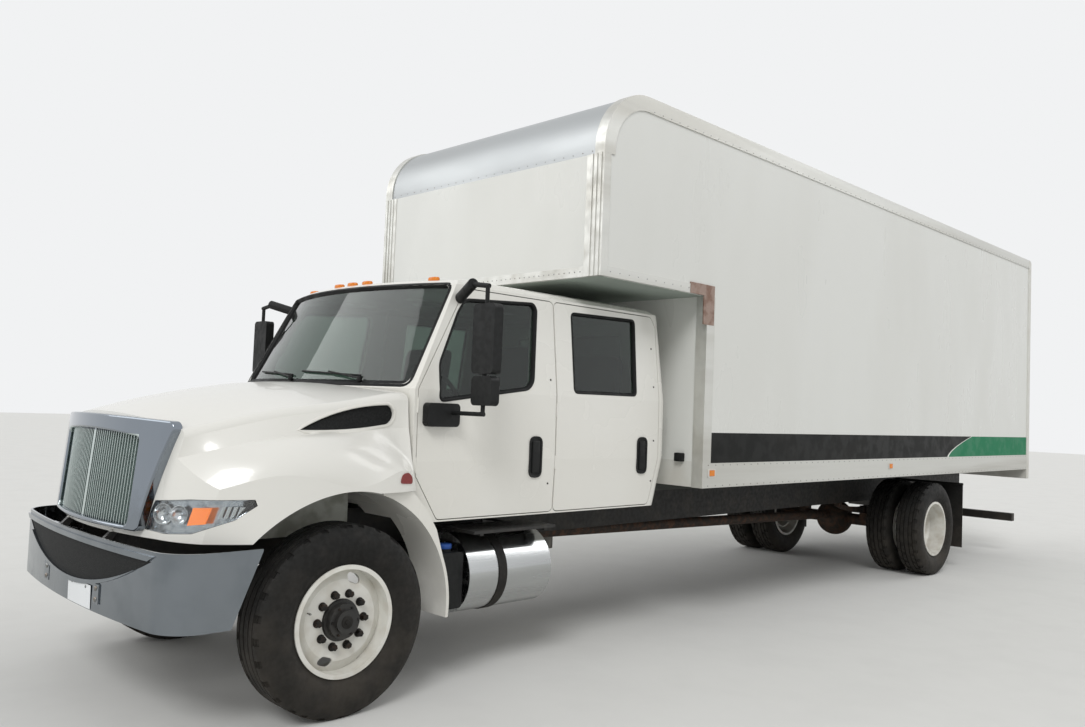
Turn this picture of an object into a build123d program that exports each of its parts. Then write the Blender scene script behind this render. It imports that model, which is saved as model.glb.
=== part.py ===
"""Crew-cab box truck with a load box that reaches over the cab.

Millimetres, Z up, front towards -Y, the truck's left towards +X.
Lengths along Y are drawn from the front axle; save() then shifts every piece
so that the origin lies on the ground below the middle of the truck.
"""
from build123d import *
from math import cos, sin, radians, sqrt
import os

# Stance
WHEELBASE = 7620
HUB_HEIGHT = 512
REAR_DUAL_X = 920
DUAL_SPACING = 343
FRONT_WHEEL_X = 1020
KINGPIN_X = 900

# Tyres and wheels
TYRE_W = 279
TYRE_TREAD_W = 226
TYRE_SHOULDER_R = 497
BEAD_R = 286
BEAD_W = 210
FLANGE_R = 300
FLANGE_T = 8
DISC_T = 12
STUD_CIRCLE_R = 142.9
STUD_COUNT = 10
STUD_R = 14
HAND_HOLE_LONG = 84
HAND_HOLE_WIDE = 52
HAND_HOLES_AT = (70, 250)
NUT_LENGTH = 30
HUB_PILOT_R = 110
HUB_BARREL_R = 92
HUB_CAP_R = 62
HUB_CAP_T = 22
RIM_T = 10
DRUM_R = 205
BRAKE_DRUM_W = 70
SPINDLE_R = 38
REAR_TUBE_R = 65
FRONT_DISH = 60
REAR_DISH = 171.5

# Chassis ladder
RAIL_HALF_W = 432
RAIL_DEEP = 260
RAIL_FLANGE = 80
RAIL_T = 10
RAIL_TOP = 1015
RAIL_FRONT = -830
RAIL_REAR = 10380
CROSS_AT = (-700, 1700, 2500, 3700, 5100, 6500, 8700, 9600, 10200)
CROSS_DEEP = 180
HITCH_PLATE_T = 12
HITCH_SPAN_X = 400
HITCH_SPAN_Z = 120
HITCH_HOLE_R = 10.5
CROSS_W = 70

# Load box
BOX_HALF_W = 1270
BOX_FRONT = 3030
BOX_REAR = 10550
BOX_TOP = 3937
BOX_BOTTOM = 1126
FLOOR_TOP = 1256
WALL_T = 25
SKIN_INSET = 8
ATTIC_FRONT = 1780
ATTIC_BOTTOM = 2598
ATTIC_FLOOR_T = 70
NOSE_R = 460
ROOF_T = 22
TOP_RAIL_H = 110
RUB_RAIL_TOP = 1316
CORNER_POST_W = 160
CORNER_POST_D = 70
POST_FLUTES = 3
ANGLE_LEG = 100
ANGLE_T = 6
SILL_W = 80
BEARER_H = 100
BEARER_T = 45
BEARER_STEP = 410
REAR_POST_W = 110
REAR_POST_D = 90
REAR_HEADER_H = 235
REAR_SILL_BOTTOM = 1000
DOOR_PANELS = 6
CAP_TALL = 497
SEAM_Z = BOX_TOP - CAP_TALL
CAP_INSET = 90
REAR_LAMP_DROP = 92
FLAP_INSET = 40

# Cab
CAB_FRONT = 455
CAB_REAR = 2860
CAB_BOTTOM = 990
CAB_WIDE_Z = 1350
CAB_BELT = 1775
CAB_EAVES = 2435
CAB_HALF_W = 1050
CAB_BELT_HALF_W = 1044
CAB_EAVES_HALF_W = 970
CAB_CORNER_R = 80
CAB_WALL = 45
SCREEN_BASE_BOW = 190
SCREEN_TOP_Y = 790
SCREEN_TOP_BOW = 195
SCREEN_BASE_HALF_W = 985
SCREEN_HEAD_HALF_W = 932
SCREEN_CORNER_R = 45
GLASS_SET_IN = 18
CAB_FLOOR_T = 115
TUNNEL_HALF_W = 480
CAB_MOUNT_Y = (560, 2560)
TUNNEL_TOP = 1045
DOOR_T = 58
DOOR_GAP = 12
DOOR_SPLIT_Y = 1640
DOOR_BOTTOM = 1005
DOOR_TOP = 2412
DOOR_REAR_Y = 2750
DOOR_CORNER_R = 36
WINDOW_CORNER_R = 24
HINGE_X = 1048
HINGE_PIN_R = 4.2
HINGE_HEIGHTS = (1330, 1680)
HINGE_TALL = 90
B_PILLAR_HALF_W = 45
GLASS_T = 8

# Hood and grille
HOOD_REAR = 437
HOOD_BOTTOM = 955
HOOD_SPLIT_Z = 1190
HOOD_T = 14
ARCH_R = 695
NOSE_Y = -950
NOSE_Z = 1100
NOSE_RAKE = 0.0875
NOSE_BOW = 105
NOSE_BOW_X = 700
GRILLE_TOP = 1566
GRILLE_CORNER_Z = 1548
GRILLE_BOTTOM = 985
GRILLE_TOP_HALF_W = 796
GRILLE_WAIST_HALF_W = 668
GRILLE_WAIST_Z = 1225
GRILLE_BOTTOM_HALF_W = 615
GRILLE_T = 46
GRILLE_ROUND = 10
MESH_TOP = 1484
MESH_CORNER_Z = 1460
MESH_BOTTOM = 1008
MESH_HALF_W = 526
GRILLE_BARS = 40
GRILLE_BAR_W = 7
GRILLE_BAR_T = 18
HOOD_PIVOT_Y = -985
HOOD_PIVOT_Z = 900
PIVOT_PIN_R = 10
PIVOT_LUG_R = 25
PIVOT_X = 352

# Bumper
BUMPER_FRONT = -1040
BUMPER_TOP = 935
BUMPER_BOTTOM = 555
BUMPER_HALF_W = 1130
BUMPER_T = 10
BUMPER_END_TOP = -490
BUMPER_END_LOW = -640
SMILE_HALF_W = 940
SMILE_TOP = 888
SMILE_LOW = 690
LIP_W = 26
LIP_PROUD = 10

# Engine, tank and boxes on the ladder
ENGINE_REAR = 1560
GEARBOX_Z = 700
TANK_X = 800
TANK_R = 250
TANK_Z = 630
TANK_FRONT = 930
TANK_REAR = 1640
QUARTER_T = 20
QUARTER_IN_X = 800
QUARTER_OUT_X = 1120

# Driving place and seats
WHEEL_RIM_R = 225
DRIVER_X = 480
WHEEL_Y = 1040
WHEEL_Z = 1760
COLUMN_TILT = 38
MIRROR_ROOT_X = 992
ROOF_LAMPS = ((-720, 805), (-170, 672), (0, 668), (170, 672), (720, 805))
ROOF_LAMP_TALL = 26
FLOOR_Z = CAB_BOTTOM + CAB_FLOOR_T

# Running clearances
GAP = 0.3
PLAY = 5

REAR_AXLE_Y = WHEELBASE
FRONT_END = BUMPER_FRONT
MIDDLE_Y = (FRONT_END + BOX_REAR) / 2


def block(x0, x1, y0, y1, z0, z1):
    """Box between two corners."""
    middle = Pos((x0 + x1) / 2, (y0 + y1) / 2, (z0 + z1) / 2)
    return middle * Box(abs(x1 - x0), abs(y1 - y0), abs(z1 - z0))


def across(points, x0, x1):
    """Outline of (y, z) points, drawn across the truck from x0 to x1."""
    outline = make_face(Polyline([(x0, y, z) for y, z in points], close=True))
    return extrude(outline, x1 - x0, dir=(1, 0, 0))


def along(points, y0, y1, corner=0):
    """Outline of (x, z) points with round corners, drawn along the truck from y0 to y1."""
    outline = make_face(Polyline([(x, y0, z) for x, z in points], close=True))
    if corner:
        outline = fillet(outline.vertices(), corner)
    return extrude(outline, y1 - y0, dir=(0, 1, 0))


def upright(points, z0, z1):
    """Outline of (x, y) points, drawn upwards from z0 to z1."""
    outline = make_face(Polyline([(x, y, z0) for x, y in points], close=True))
    return extrude(outline, z1 - z0, dir=(0, 0, 1))


def rod_x(x0, x1, y, z, r):
    """Round bar along X."""
    return Pos((x0 + x1) / 2, y, z) * Rot(0, 90, 0) * Cylinder(r, abs(x1 - x0))


def rod(start, end, r):
    """Round bar between two points."""
    path = Line(start, end)
    return sweep(Plane(origin=start, z_dir=path @ 1 - path @ 0) * Circle(r), path=path)


def both(shape):
    """A shape on the left and its mirror image on the right."""
    return [shape, mirror(shape, about=Plane.YZ)]


def save(name, *pieces):
    """Write one node, shifted to the frame at the middle of the truck."""
    solids = [solid for piece in pieces for solid in piece.solids()]
    whole = solids[0] if len(solids) == 1 else Compound(children=solids)
    export_step(Pos(0, -MIDDLE_Y, 0) * whole, f"parts/{name}.step")


def revolved(points, x, y):
    """Turn an outline of (offset along X, radius) points round a wheel axis."""
    outline = make_face(Polyline([(x + across_x, y, HUB_HEIGHT + r) for across_x, r in points], close=True))
    return revolve(outline, axis=Axis((x, y, HUB_HEIGHT), (1, 0, 0)))


def tyre(x, y):
    """One tyre: bulged side walls, square shoulders and a flat crown."""
    half_bead = BEAD_W / 2
    half_tread = TYRE_TREAD_W / 2
    wall_r = (BEAD_R + TYRE_SHOULDER_R) / 2
    centre = HUB_HEIGHT

    def point(offset, r):
        return (x + offset, y, centre + r)

    bead_top = BEAD_R + 22
    edges = [
        Line(point(-half_bead, BEAD_R), point(half_bead, BEAD_R)),
        Line(point(half_bead, BEAD_R), point(half_bead, bead_top)),
        ThreePointArc(point(half_bead, bead_top), point(TYRE_W / 2, wall_r), point(half_tread, TYRE_SHOULDER_R)),
        Line(point(half_tread, TYRE_SHOULDER_R), point(half_tread - 14, HUB_HEIGHT)),
        Line(point(half_tread - 14, HUB_HEIGHT), point(14 - half_tread, HUB_HEIGHT)),
        Line(point(14 - half_tread, HUB_HEIGHT), point(-half_tread, TYRE_SHOULDER_R)),
        ThreePointArc(point(-half_tread, TYRE_SHOULDER_R), point(-TYRE_W / 2, wall_r), point(-half_bead, bead_top)),
        Line(point(-half_bead, bead_top), point(-half_bead, BEAD_R)),
    ]
    return revolve(make_face(edges), axis=Axis((x, y, centre), (1, 0, 0)))


def disc_wheel(x, y, out, dish):
    """Steel wheel: rim with flanges, pressed disc, hand holes and wheel nuts.

    out is +1 or -1, the side that faces away from the truck, and dish is how
    far the bolting face lies outboard of the rim's middle.
    """
    half = BEAD_W / 2
    rim = [
        (-half - FLANGE_T, FLANGE_R), (-half, FLANGE_R), (-half, BEAD_R - GAP),
        (half, BEAD_R - GAP), (half, FLANGE_R), (half + FLANGE_T, FLANGE_R),
        (half + FLANGE_T, BEAD_R - RIM_T), (-half - FLANGE_T, BEAD_R - RIM_T),
    ]
    wheel = revolved(rim, x, y)
    face = dish * out
    root = max(-half + 30, min(half - 30, face * 0.35))
    disc = [
        (root, BEAD_R - RIM_T + 1), (face, BEAD_R - 70), (face, HUB_PILOT_R + GAP),
        (face - DISC_T * out, HUB_PILOT_R + GAP), (face - DISC_T * out, BEAD_R - 74),
        (root - DISC_T * out, BEAD_R - RIM_T + 1),
    ]
    wheel += revolved(disc, x, y)
    hole = Rot(0, 90, 0) * extrude(Rot(0, 0, 90) * SlotOverall(HAND_HOLE_LONG, HAND_HOLE_WIDE), 80, both=True)
    for turn in HAND_HOLES_AT:
        wheel -= Pos(x + face, y, HUB_HEIGHT) * Rot(turn, 0, 0) * Pos(0, BEAD_R - 60, 0) * Rot(90, 0, 0) * hole
    for i in range(STUD_COUNT):
        angle = radians(i * 360 / STUD_COUNT)
        stud_y = y + STUD_CIRCLE_R * cos(angle)
        stud_z = HUB_HEIGHT + STUD_CIRCLE_R * sin(angle)
        wheel += rod_x(x + face - out, x + face + NUT_LENGTH * out, stud_y, stud_z, STUD_R)
    return wheel


def hub(face_x, out, back, cap, bore_r, y):
    """Hub with its flange behind the wheel's bolting face, its cap, and a bore for its spindle."""
    flange_x = face_x - DISC_T * out
    body = rod_x(flange_x - 16 * out, flange_x, y, HUB_HEIGHT, STUD_CIRCLE_R + 28)
    body += rod_x(face_x - back * out, face_x + 14 * out, y, HUB_HEIGHT, HUB_PILOT_R - 2)
    body += rod_x(face_x - (DISC_T + 2) * out, face_x + 4 * out, y, HUB_HEIGHT, HUB_PILOT_R + 2 * GAP)
    body += rod_x(face_x, face_x + (cap - HUB_CAP_T) * out, y, HUB_HEIGHT, HUB_BARREL_R)
    body += rod_x(face_x, face_x + cap * out, y, HUB_HEIGHT, HUB_CAP_R)
    return body - rod_x(face_x - (back + 1) * out, face_x - 20 * out, y, HUB_HEIGHT, bore_r + GAP)


def knuckle(side):
    """Steering knuckle: yoke over the axle's kingpin boss, brake plate and spindle."""
    x = side * KINGPIN_X
    boss_top = HUB_HEIGHT - 30 + 60
    boss_low = HUB_HEIGHT - 30 - 60
    yoke = Pos(x, 0, boss_top + GAP + 20) * Cylinder(44, 40)
    yoke += Pos(x, 0, boss_low - GAP - 20) * Cylinder(44, 40)
    yoke += Pos(x, 0, boss_top + GAP - 5) * Cylinder(15, 10 + 2 * GAP) - Pos(x, 0, boss_top - 5) * Cylinder(30, 10)
    plate_x = x + side * 50
    yoke += block(x + side * 5, plate_x + side * 20, -40, 40, boss_top + GAP, boss_top + 40)
    yoke += block(x + side * 5, plate_x + side * 20, -40, 40, boss_low - 40, boss_low - GAP)
    yoke += block(plate_x, plate_x + side * 20, -40, 40, boss_low - 40, boss_top + 40)
    yoke += rod_x(plate_x + side * 10, plate_x + side * 18, 0, HUB_HEIGHT, 180)
    yoke += rod_x(plate_x + side * 10, side * (FRONT_WHEEL_X + 35), 0, HUB_HEIGHT, SPINDLE_R)
    return yoke


def frame_rails():
    """Two channel rails, cross members, and the guard welded below the tail."""
    low = RAIL_TOP - RAIL_DEEP
    web = RAIL_HALF_W - RAIL_T
    inner = RAIL_HALF_W - RAIL_FLANGE
    channel = [
        (RAIL_HALF_W, RAIL_TOP), (inner, RAIL_TOP), (inner, RAIL_TOP - RAIL_T), (web, RAIL_TOP - RAIL_T),
        (web, low + RAIL_T), (inner, low + RAIL_T), (inner, low), (RAIL_HALF_W, low),
    ]
    left = along(channel, RAIL_FRONT, RAIL_REAR)
    ladder = left + mirror(left, about=Plane.YZ)
    mid = RAIL_TOP - RAIL_DEEP / 2
    top = mid + CROSS_DEEP / 2
    bottom = mid - CROSS_DEEP / 2
    for y in CROSS_AT:
        section = [
            (y, bottom), (y + CROSS_W, bottom), (y + CROSS_W, bottom + RAIL_T), (y + RAIL_T, bottom + RAIL_T),
            (y + RAIL_T, top - RAIL_T), (y + CROSS_W, top - RAIL_T), (y + CROSS_W, top), (y, top),
        ]
        ladder += across(section, -web, web)
    guard_top = 530
    for leg in both(block(inner, RAIL_HALF_W, RAIL_REAR - 90, RAIL_REAR, guard_top - 100, low)):
        ladder += leg
    ladder += block(-1150, 1150, RAIL_REAR - 90, RAIL_REAR, guard_top - 100, guard_top)
    plate = block(-web, web, RAIL_REAR - HITCH_PLATE_T, RAIL_REAR, low + 15, RAIL_TOP - 15)
    for x in (-HITCH_SPAN_X / 2, HITCH_SPAN_X / 2):
        for z in (mid - HITCH_SPAN_Z / 2, mid + HITCH_SPAN_Z / 2):
            plate -= Pos(x, RAIL_REAR, z) * Rot(90, 0, 0) * Cylinder(HITCH_HOLE_R, 60)
    return ladder + plate


def bumper_plan(inset):
    """Plan outline of the bumper, bowed across the front with round corners."""
    half = BUMPER_HALF_W - inset
    front = BUMPER_FRONT + inset
    corner_y = front + 60
    back = BUMPER_END_TOP
    edges = [
        ThreePointArc((-half + 190, corner_y, 0), (0, front, 0), (half - 190, corner_y, 0)),
        ThreePointArc((half - 190, corner_y, 0), (half - 50, corner_y + 70, 0), (half, corner_y + 230, 0)),
        Line((half, corner_y + 230, 0), (half, back, 0)),
        Line((half, back, 0), (-half, back, 0)),
        Line((-half, back, 0), (-half, corner_y + 230, 0)),
        ThreePointArc((-half, corner_y + 230, 0), (-half + 50, corner_y + 70, 0), (-half + 190, corner_y, 0)),
    ]
    return make_face(edges)


def smile(grow):
    """Prism through the bumper's air opening, a bow below a flat top edge."""
    half = SMILE_HALF_W + grow
    top = SMILE_TOP + grow
    outline = make_face([
        Line((-half, 0, top), (half, 0, top)),
        ThreePointArc((half, 0, top), (0, 0, SMILE_LOW - grow), (-half, 0, top)),
    ])
    return Pos(0, BUMPER_FRONT - 50, 0) * extrude(outline, 350, dir=(0, 1, 0))


def bumper():
    """Pressed bumper with a smile-shaped air opening, brackets and hood pivots."""
    height = BUMPER_TOP - BUMPER_BOTTOM
    proud = Pos(0, 0, BUMPER_BOTTOM) * extrude(bumper_plan(0), height, dir=(0, 0, 1))
    outer = Pos(0, 0, BUMPER_BOTTOM) * extrude(bumper_plan(LIP_PROUD), height, dir=(0, 0, 1))
    inner = Pos(0, 0, BUMPER_BOTTOM - 1) * extrude(bumper_plan(LIP_PROUD + BUMPER_T), height + 2, dir=(0, 0, 1))
    slant = [
        (BUMPER_END_TOP + 5, BUMPER_TOP + 1), (BUMPER_END_LOW, BUMPER_BOTTOM - 1), (0, BUMPER_BOTTOM - 1),
        (0, BUMPER_TOP + 1),
    ]
    shell = outer - inner - across(slant, -1300, 1300)
    opening = smile(0)
    lip = (smile(LIP_W) & proud) - inner
    shell = shell + lip - opening
    foot = BUMPER_FRONT + LIP_PROUD + 6
    arm = [
        (RAIL_FRONT, 760), (RAIL_FRONT, 870), (HOOD_PIVOT_Y + PIVOT_LUG_R, HOOD_PIVOT_Z),
        (HOOD_PIVOT_Y - PIVOT_LUG_R, HOOD_PIVOT_Z), (HOOD_PIVOT_Y - PIVOT_LUG_R, 720), (foot, 700), (foot, 600),
    ]
    for side in (1, -1):
        x0 = side * PIVOT_X
        x1 = side * RAIL_HALF_W
        shell += across(arm, min(x0, x1), max(x0, x1))
        shell += rod_x(x0, x1, HOOD_PIVOT_Y, HOOD_PIVOT_Z, PIVOT_LUG_R)
        shell += rod_x(x0 + side, x0 - side * 42, HOOD_PIVOT_Y, HOOD_PIVOT_Z, PIVOT_PIN_R)
    return shell


def leaf_spring(x, y, half_length, top):
    """Leaf pack with its eyes on short hangers below the rail."""
    sag = 60
    arc = [
        ThreePointArc((x - 38, y - half_length, top), (x - 38, y, top - sag), (x - 38, y + half_length, top)),
        Line((x - 38, y + half_length, top), (x - 38, y + half_length, top - 24)),
        ThreePointArc((x - 38, y + half_length, top - 24), (x - 38, y, top - sag - 70), (x - 38, y - half_length, top - 24)),
        Line((x - 38, y - half_length, top - 24), (x - 38, y - half_length, top)),
    ]
    return extrude(make_face(arc), 76, dir=(1, 0, 0))


def front_axle():
    """Forged I-beam with kingpin ends, on its two leaf springs."""
    beam_z = HUB_HEIGHT - 60
    drop = [
        (-KINGPIN_X + 30, beam_z + 60), (-KINGPIN_X - 10, beam_z + 60), (-KINGPIN_X - 10, beam_z),
        (-640, beam_z - 60), (640, beam_z - 60), (KINGPIN_X + 10, beam_z), (KINGPIN_X + 10, beam_z + 60),
        (KINGPIN_X - 30, beam_z + 60), (640, beam_z + 50), (-640, beam_z + 50),
    ]
    beam = along(drop, -45, 45)
    low = RAIL_TOP - RAIL_DEEP
    for side in (1, -1):
        beam += Pos(side * KINGPIN_X, 0, beam_z + 30) * Cylinder(42, 120)
        spring_x = side * (RAIL_HALF_W - 40)
        beam += leaf_spring(spring_x, 0, 600, low - 60)
        beam += block(spring_x - 45, spring_x + 45, -60, 60, beam_z + 30, low - 110)
        for end in (-600, 600):
            beam += block(spring_x - 30, spring_x + 30, end - 30, end + 30, low - 90, low)
    return beam


def rear_axle():
    """Drive axle housing with its bowl, springs and the shaft from the gearbox."""
    y = REAR_AXLE_Y
    half = REAR_DUAL_X - 50
    axle = rod_x(-half, half, y, HUB_HEIGHT, REAR_TUBE_R)
    axle += Pos(0, y, HUB_HEIGHT) * Sphere(210)
    low = RAIL_TOP - RAIL_DEEP
    for side in (1, -1):
        spring_x = side * (RAIL_HALF_W - 40)
        axle += leaf_spring(spring_x, y, 700, low - 20)
        axle += block(spring_x - 45, spring_x + 45, y - 70, y + 70, HUB_HEIGHT, low - 70)
        for end in (-690, 690):
            axle += block(spring_x - 30, spring_x + 30, y + end - 30, y + end + 30, low - 45, low)
    axle += rod((0, ENGINE_REAR + 2, GEARBOX_Z), (0, y, HUB_HEIGHT + 40), 50)
    return axle


def engine():
    """Engine and gearbox as one plain block, and the radiator ahead of it."""
    block_engine = block(-300, 300, -420, 380, 700, 1370)
    block_engine += block(-200, 200, 360, ENGINE_REAR, 610, 960)
    mount = RAIL_HALF_W - RAIL_T - GAP
    block_engine += rod_x(-mount, mount, 100, 850, 40)
    radiator = block(-370, 370, -760, -640, RAIL_TOP + GAP, 1420)
    return block_engine, radiator


def tanks():
    """Aluminium fuel tank on the left, with end rims and hanger brackets."""
    tank = Pos(TANK_X, (TANK_FRONT + TANK_REAR) / 2, TANK_Z) * Rot(90, 0, 0) * Cylinder(TANK_R, TANK_REAR - TANK_FRONT)
    tank += block(RAIL_HALF_W, TANK_X, TANK_FRONT + 120, TANK_FRONT + 190, TANK_Z + 40, TANK_Z + TANK_R - 10)
    tank += block(RAIL_HALF_W, TANK_X, TANK_REAR - 190, TANK_REAR - 120, TANK_Z + 40, TANK_Z + TANK_R - 10)
    return tank


def cab_section(inset, ends, half_w, y_front, bow, y_rear, corner, z):
    """Plan outline of the cab at one height: bowed front, round rear corners."""
    w = half_w - inset
    f = y_front + ends
    r = y_rear - ends
    edges = [
        ThreePointArc((-w, f, z), (0, f - bow, z), (w, f, z)),
        Line((w, f, z), (w, r, z)),
        Line((w, r, z), (-w, r, z)),
        Line((-w, r, z), (-w, f, z)),
    ]
    face = make_face(edges)
    rear = face.vertices().sort_by(Axis.Y)[-2:]
    return fillet(rear, corner - inset * 0.5)


def cab_loft(inset, floor, crown, ends):
    """Bodywork of the cab drawn in by inset at the sides and by ends at front and rear."""
    low_bow = 0.1 * SCREEN_BASE_BOW
    low_z = CAB_BOTTOM + floor
    eaves = CAB_EAVES - crown
    r = CAB_CORNER_R
    # Half width, front at the sides, bow of the front, rear, corner radius, height
    rows = [
        (CAB_HALF_W - 12, CAB_FRONT, low_bow, CAB_REAR - 95, r, low_z),
        (CAB_HALF_W, CAB_FRONT, low_bow, CAB_REAR - 5, r, CAB_WIDE_Z),
        (CAB_BELT_HALF_W, CAB_FRONT, SCREEN_BASE_BOW, CAB_REAR, r, CAB_BELT),
        (CAB_EAVES_HALF_W, SCREEN_TOP_Y, SCREEN_TOP_BOW, CAB_REAR - 22, r + 15, eaves),
        (CAB_EAVES_HALF_W - 42, SCREEN_TOP_Y + 45, SCREEN_TOP_BOW, CAB_REAR - 62, r + 30, eaves + 31),
        (CAB_EAVES_HALF_W - 125, SCREEN_TOP_Y + 140, SCREEN_TOP_BOW - 10, CAB_REAR - 150, r + 60, eaves + 53),
        (CAB_EAVES_HALF_W - 350, SCREEN_TOP_Y + 330, SCREEN_TOP_BOW - 45, CAB_REAR - 330, r + 60, eaves + 73),
    ]
    return loft([cab_section(inset, ends, *row) for row in rows], ruled=True)


def cab_body(inset, floor, crown):
    """Solid shape of the cab; inset gives the space inside its walls."""
    solid = cab_loft(inset, floor, crown, inset)
    solid -= rod_x(-1300, 1300, 0, HUB_HEIGHT, ARCH_R + QUARTER_T + GAP + inset)
    return solid - block(-TUNNEL_HALF_W, TUNNEL_HALF_W, -100, CAB_REAR + 100, 800, TUNNEL_TOP)


DOOR_OUTLINES = {
    "front": [
        (CAB_FRONT + 28, 1270), (CAB_FRONT + 205, DOOR_BOTTOM), (DOOR_SPLIT_Y - DOOR_GAP / 2, DOOR_BOTTOM),
        (DOOR_SPLIT_Y - DOOR_GAP / 2, DOOR_TOP), (SCREEN_TOP_Y + 70, DOOR_TOP), (CAB_FRONT + 28, CAB_BELT),
    ],
    "rear": [
        (DOOR_SPLIT_Y + DOOR_GAP / 2, DOOR_BOTTOM), (DOOR_REAR_Y - 95, DOOR_BOTTOM), (DOOR_REAR_Y, CAB_WIDE_Z),
        (DOOR_REAR_Y, DOOR_TOP - 80), (DOOR_REAR_Y - 45, DOOR_TOP), (DOOR_SPLIT_Y + DOOR_GAP / 2, DOOR_TOP),
    ],
}
WINDOW_OUTLINES = {
    "front": [
        (646, 1712), (1375, 1812), (1420, 1860), (1472, 2345), (1445, 2378), (862, 2341), (800, 2262), (646, 1935),
    ],
    "rear": [(1820, 1808), (2478, 1812), (2500, 2366), (1820, 2352)],
}


def grown(points, by, corner):
    """Outline of (y, z) points with each edge moved outwards and round corners."""
    face = make_face(Polyline([(0, y, z) for y, z in points], close=True))
    face = offset(face, by, kind=Kind.INTERSECTION) if by else face
    return fillet(face.vertices(), corner + by)


def drawn_x(face, x0, x1):
    """Draw a face that lies in the YZ plane from x0 to x1."""
    return Pos(x0, 0, 0) * extrude(face, x1 - x0, dir=(1, 0, 0))


def door_hinges(edge_y, carrier_x):
    """Hinge pins in the gap ahead of a left door, each on a plate from its pillar."""
    y = edge_y - HINGE_PIN_R - GAP
    pins = []
    for z in HINGE_HEIGHTS:
        pin = Pos(HINGE_X, y, z) * Cylinder(HINGE_PIN_R, HINGE_TALL)
        pin += block(carrier_x, HINGE_X, y - 3, y + 1, z - HINGE_TALL / 2, z + HINGE_TALL / 2)
        pins.append(pin)
    return pins


def cab_half_width(z):
    """Half width of the cab's side between its widest line and the belt."""
    share = (z - CAB_WIDE_Z) / (CAB_BELT - CAB_WIDE_Z)
    return CAB_HALF_W + (CAB_BELT_HALF_W - CAB_HALF_W) * share


def cab_parts():
    """Shell, doors and their glass for the left side, and the fixed glass."""
    outer = cab_body(0, 0, 0)
    room = cab_body(CAB_WALL, CAB_FLOOR_T, CAB_WALL)
    lining = cab_loft(DOOR_T, -20, 30, -60)
    behind = cab_loft(DOOR_T + PLAY, -20, 30, -60)
    glazing = cab_loft(GLASS_SET_IN, 20, 0, GLASS_SET_IN)
    glazing -= cab_loft(GLASS_SET_IN + GLASS_T, 21, 2, GLASS_SET_IN + GLASS_T)
    half = (outer - room) & block(0, CAB_HALF_W + 100, 0, CAB_REAR + 100, CAB_BOTTOM, CAB_EAVES + 200)
    sides = {}
    for name, points in DOOR_OUTLINES.items():
        hole = drawn_x(grown(points, DOOR_GAP / 2, DOOR_CORNER_R), 600, 1300) - behind
        half -= hole
        leaf = (outer & drawn_x(grown(points, 0, DOOR_CORNER_R), 700, 1300)) - lining
        window = WINDOW_OUTLINES[name]
        leaf -= drawn_x(grown(window, 0, WINDOW_CORNER_R), 700, 1300)
        pane = glazing & drawn_x(grown(window, -GAP, WINDOW_CORNER_R), 800, 1300)
        sides[name] = (leaf, pane)
    pillar = cab_loft(DOOR_T + PLAY, 20, 30, 0) - cab_loft(DOOR_T + 50, 20, 30, 0)
    pillar &= block(600, 1300, DOOR_SPLIT_Y - B_PILLAR_HALF_W, DOOR_SPLIT_Y + B_PILLAR_HALF_W, FLOOR_Z - 20, CAB_EAVES + 20)
    front_edge = DOOR_OUTLINES["front"][0][0]
    rear_edge = DOOR_OUTLINES["rear"][0][0]
    hinges = door_hinges(front_edge, HINGE_X - 12) + door_hinges(rear_edge, HINGE_X - DOOR_T - 20)
    y = front_edge - DOOR_GAP
    for z in HINGE_HEIGHTS:
        hinges.append(block(HINGE_X - 14, HINGE_X - 2, y, y + 9, z - HINGE_TALL / 2, z + HINGE_TALL / 2))
    mount_x = RAIL_HALF_W - RAIL_FLANGE / 2
    feet = [block(mount_x - 35, mount_x + 35, y, y + 90, RAIL_TOP + GAP, TUNNEL_TOP + 5) for y in CAB_MOUNT_Y]
    for piece in (pillar, *hinges, *feet):
        half += piece
    shell = half + mirror(half, about=Plane.YZ)
    base = (SCREEN_BASE_HALF_W, CAB_BELT + 25)
    head = (SCREEN_HEAD_HALF_W, CAB_EAVES - 4)
    screen = [(-base[0], base[1]), base, head, (-head[0], head[1])]
    screen_hole = along(screen, CAB_FRONT - 400, SCREEN_TOP_Y + 150, SCREEN_CORNER_R)
    back = [(-600, 1830), (600, 1830), (600, 2300), (-600, 2300)]
    back_hole = along(back, CAB_REAR - 250, CAB_REAR + 50, SCREEN_CORNER_R)
    shell = shell - screen_hole - back_hole
    glass = (glazing & screen_hole) + (glazing & back_hole)
    return shell, sides, glass


def hood_section(inset, y, out, lip, shoulder, crease_x, crease_z, crown_w, crown_z, top):
    """Cross section of the hood: fender wall, rounded fender, crease, side wall and crown."""
    low = HOOD_BOTTOM if inset == 0 else HOOD_BOTTOM - 1
    reach = out - crease_x
    fender = [(out - inset, lip), (out - inset - 0.35 * reach, shoulder - inset), (crease_x - inset, crease_z - inset)]
    wall = [(crown_w - inset, crown_z - 40 - inset), (crown_w - 12 - inset, crown_z - 12 - inset)]
    crown = (crown_w - 45 - inset, crown_z + 5 - inset)

    def at(point, side):
        return (side * point[0], y, point[1])

    edges = [
        Line((inset - out, y, low), (out - inset, y, low)),
        ThreePointArc(at(crown, 1), (0, y, top - inset), at(crown, -1)),
    ]
    for side in (1, -1):
        edges.append(Line((side * (out - inset), y, low), at(fender[0], side)))
        edges.append(ThreePointArc(*[at(point, side) for point in fender]))
        edges.append(Line(at(fender[2], side), at(wall[0], side)))
        edges.append(ThreePointArc(at(wall[0], side), at(wall[1], side), at(crown, side)))
    return make_face(edges)


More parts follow.
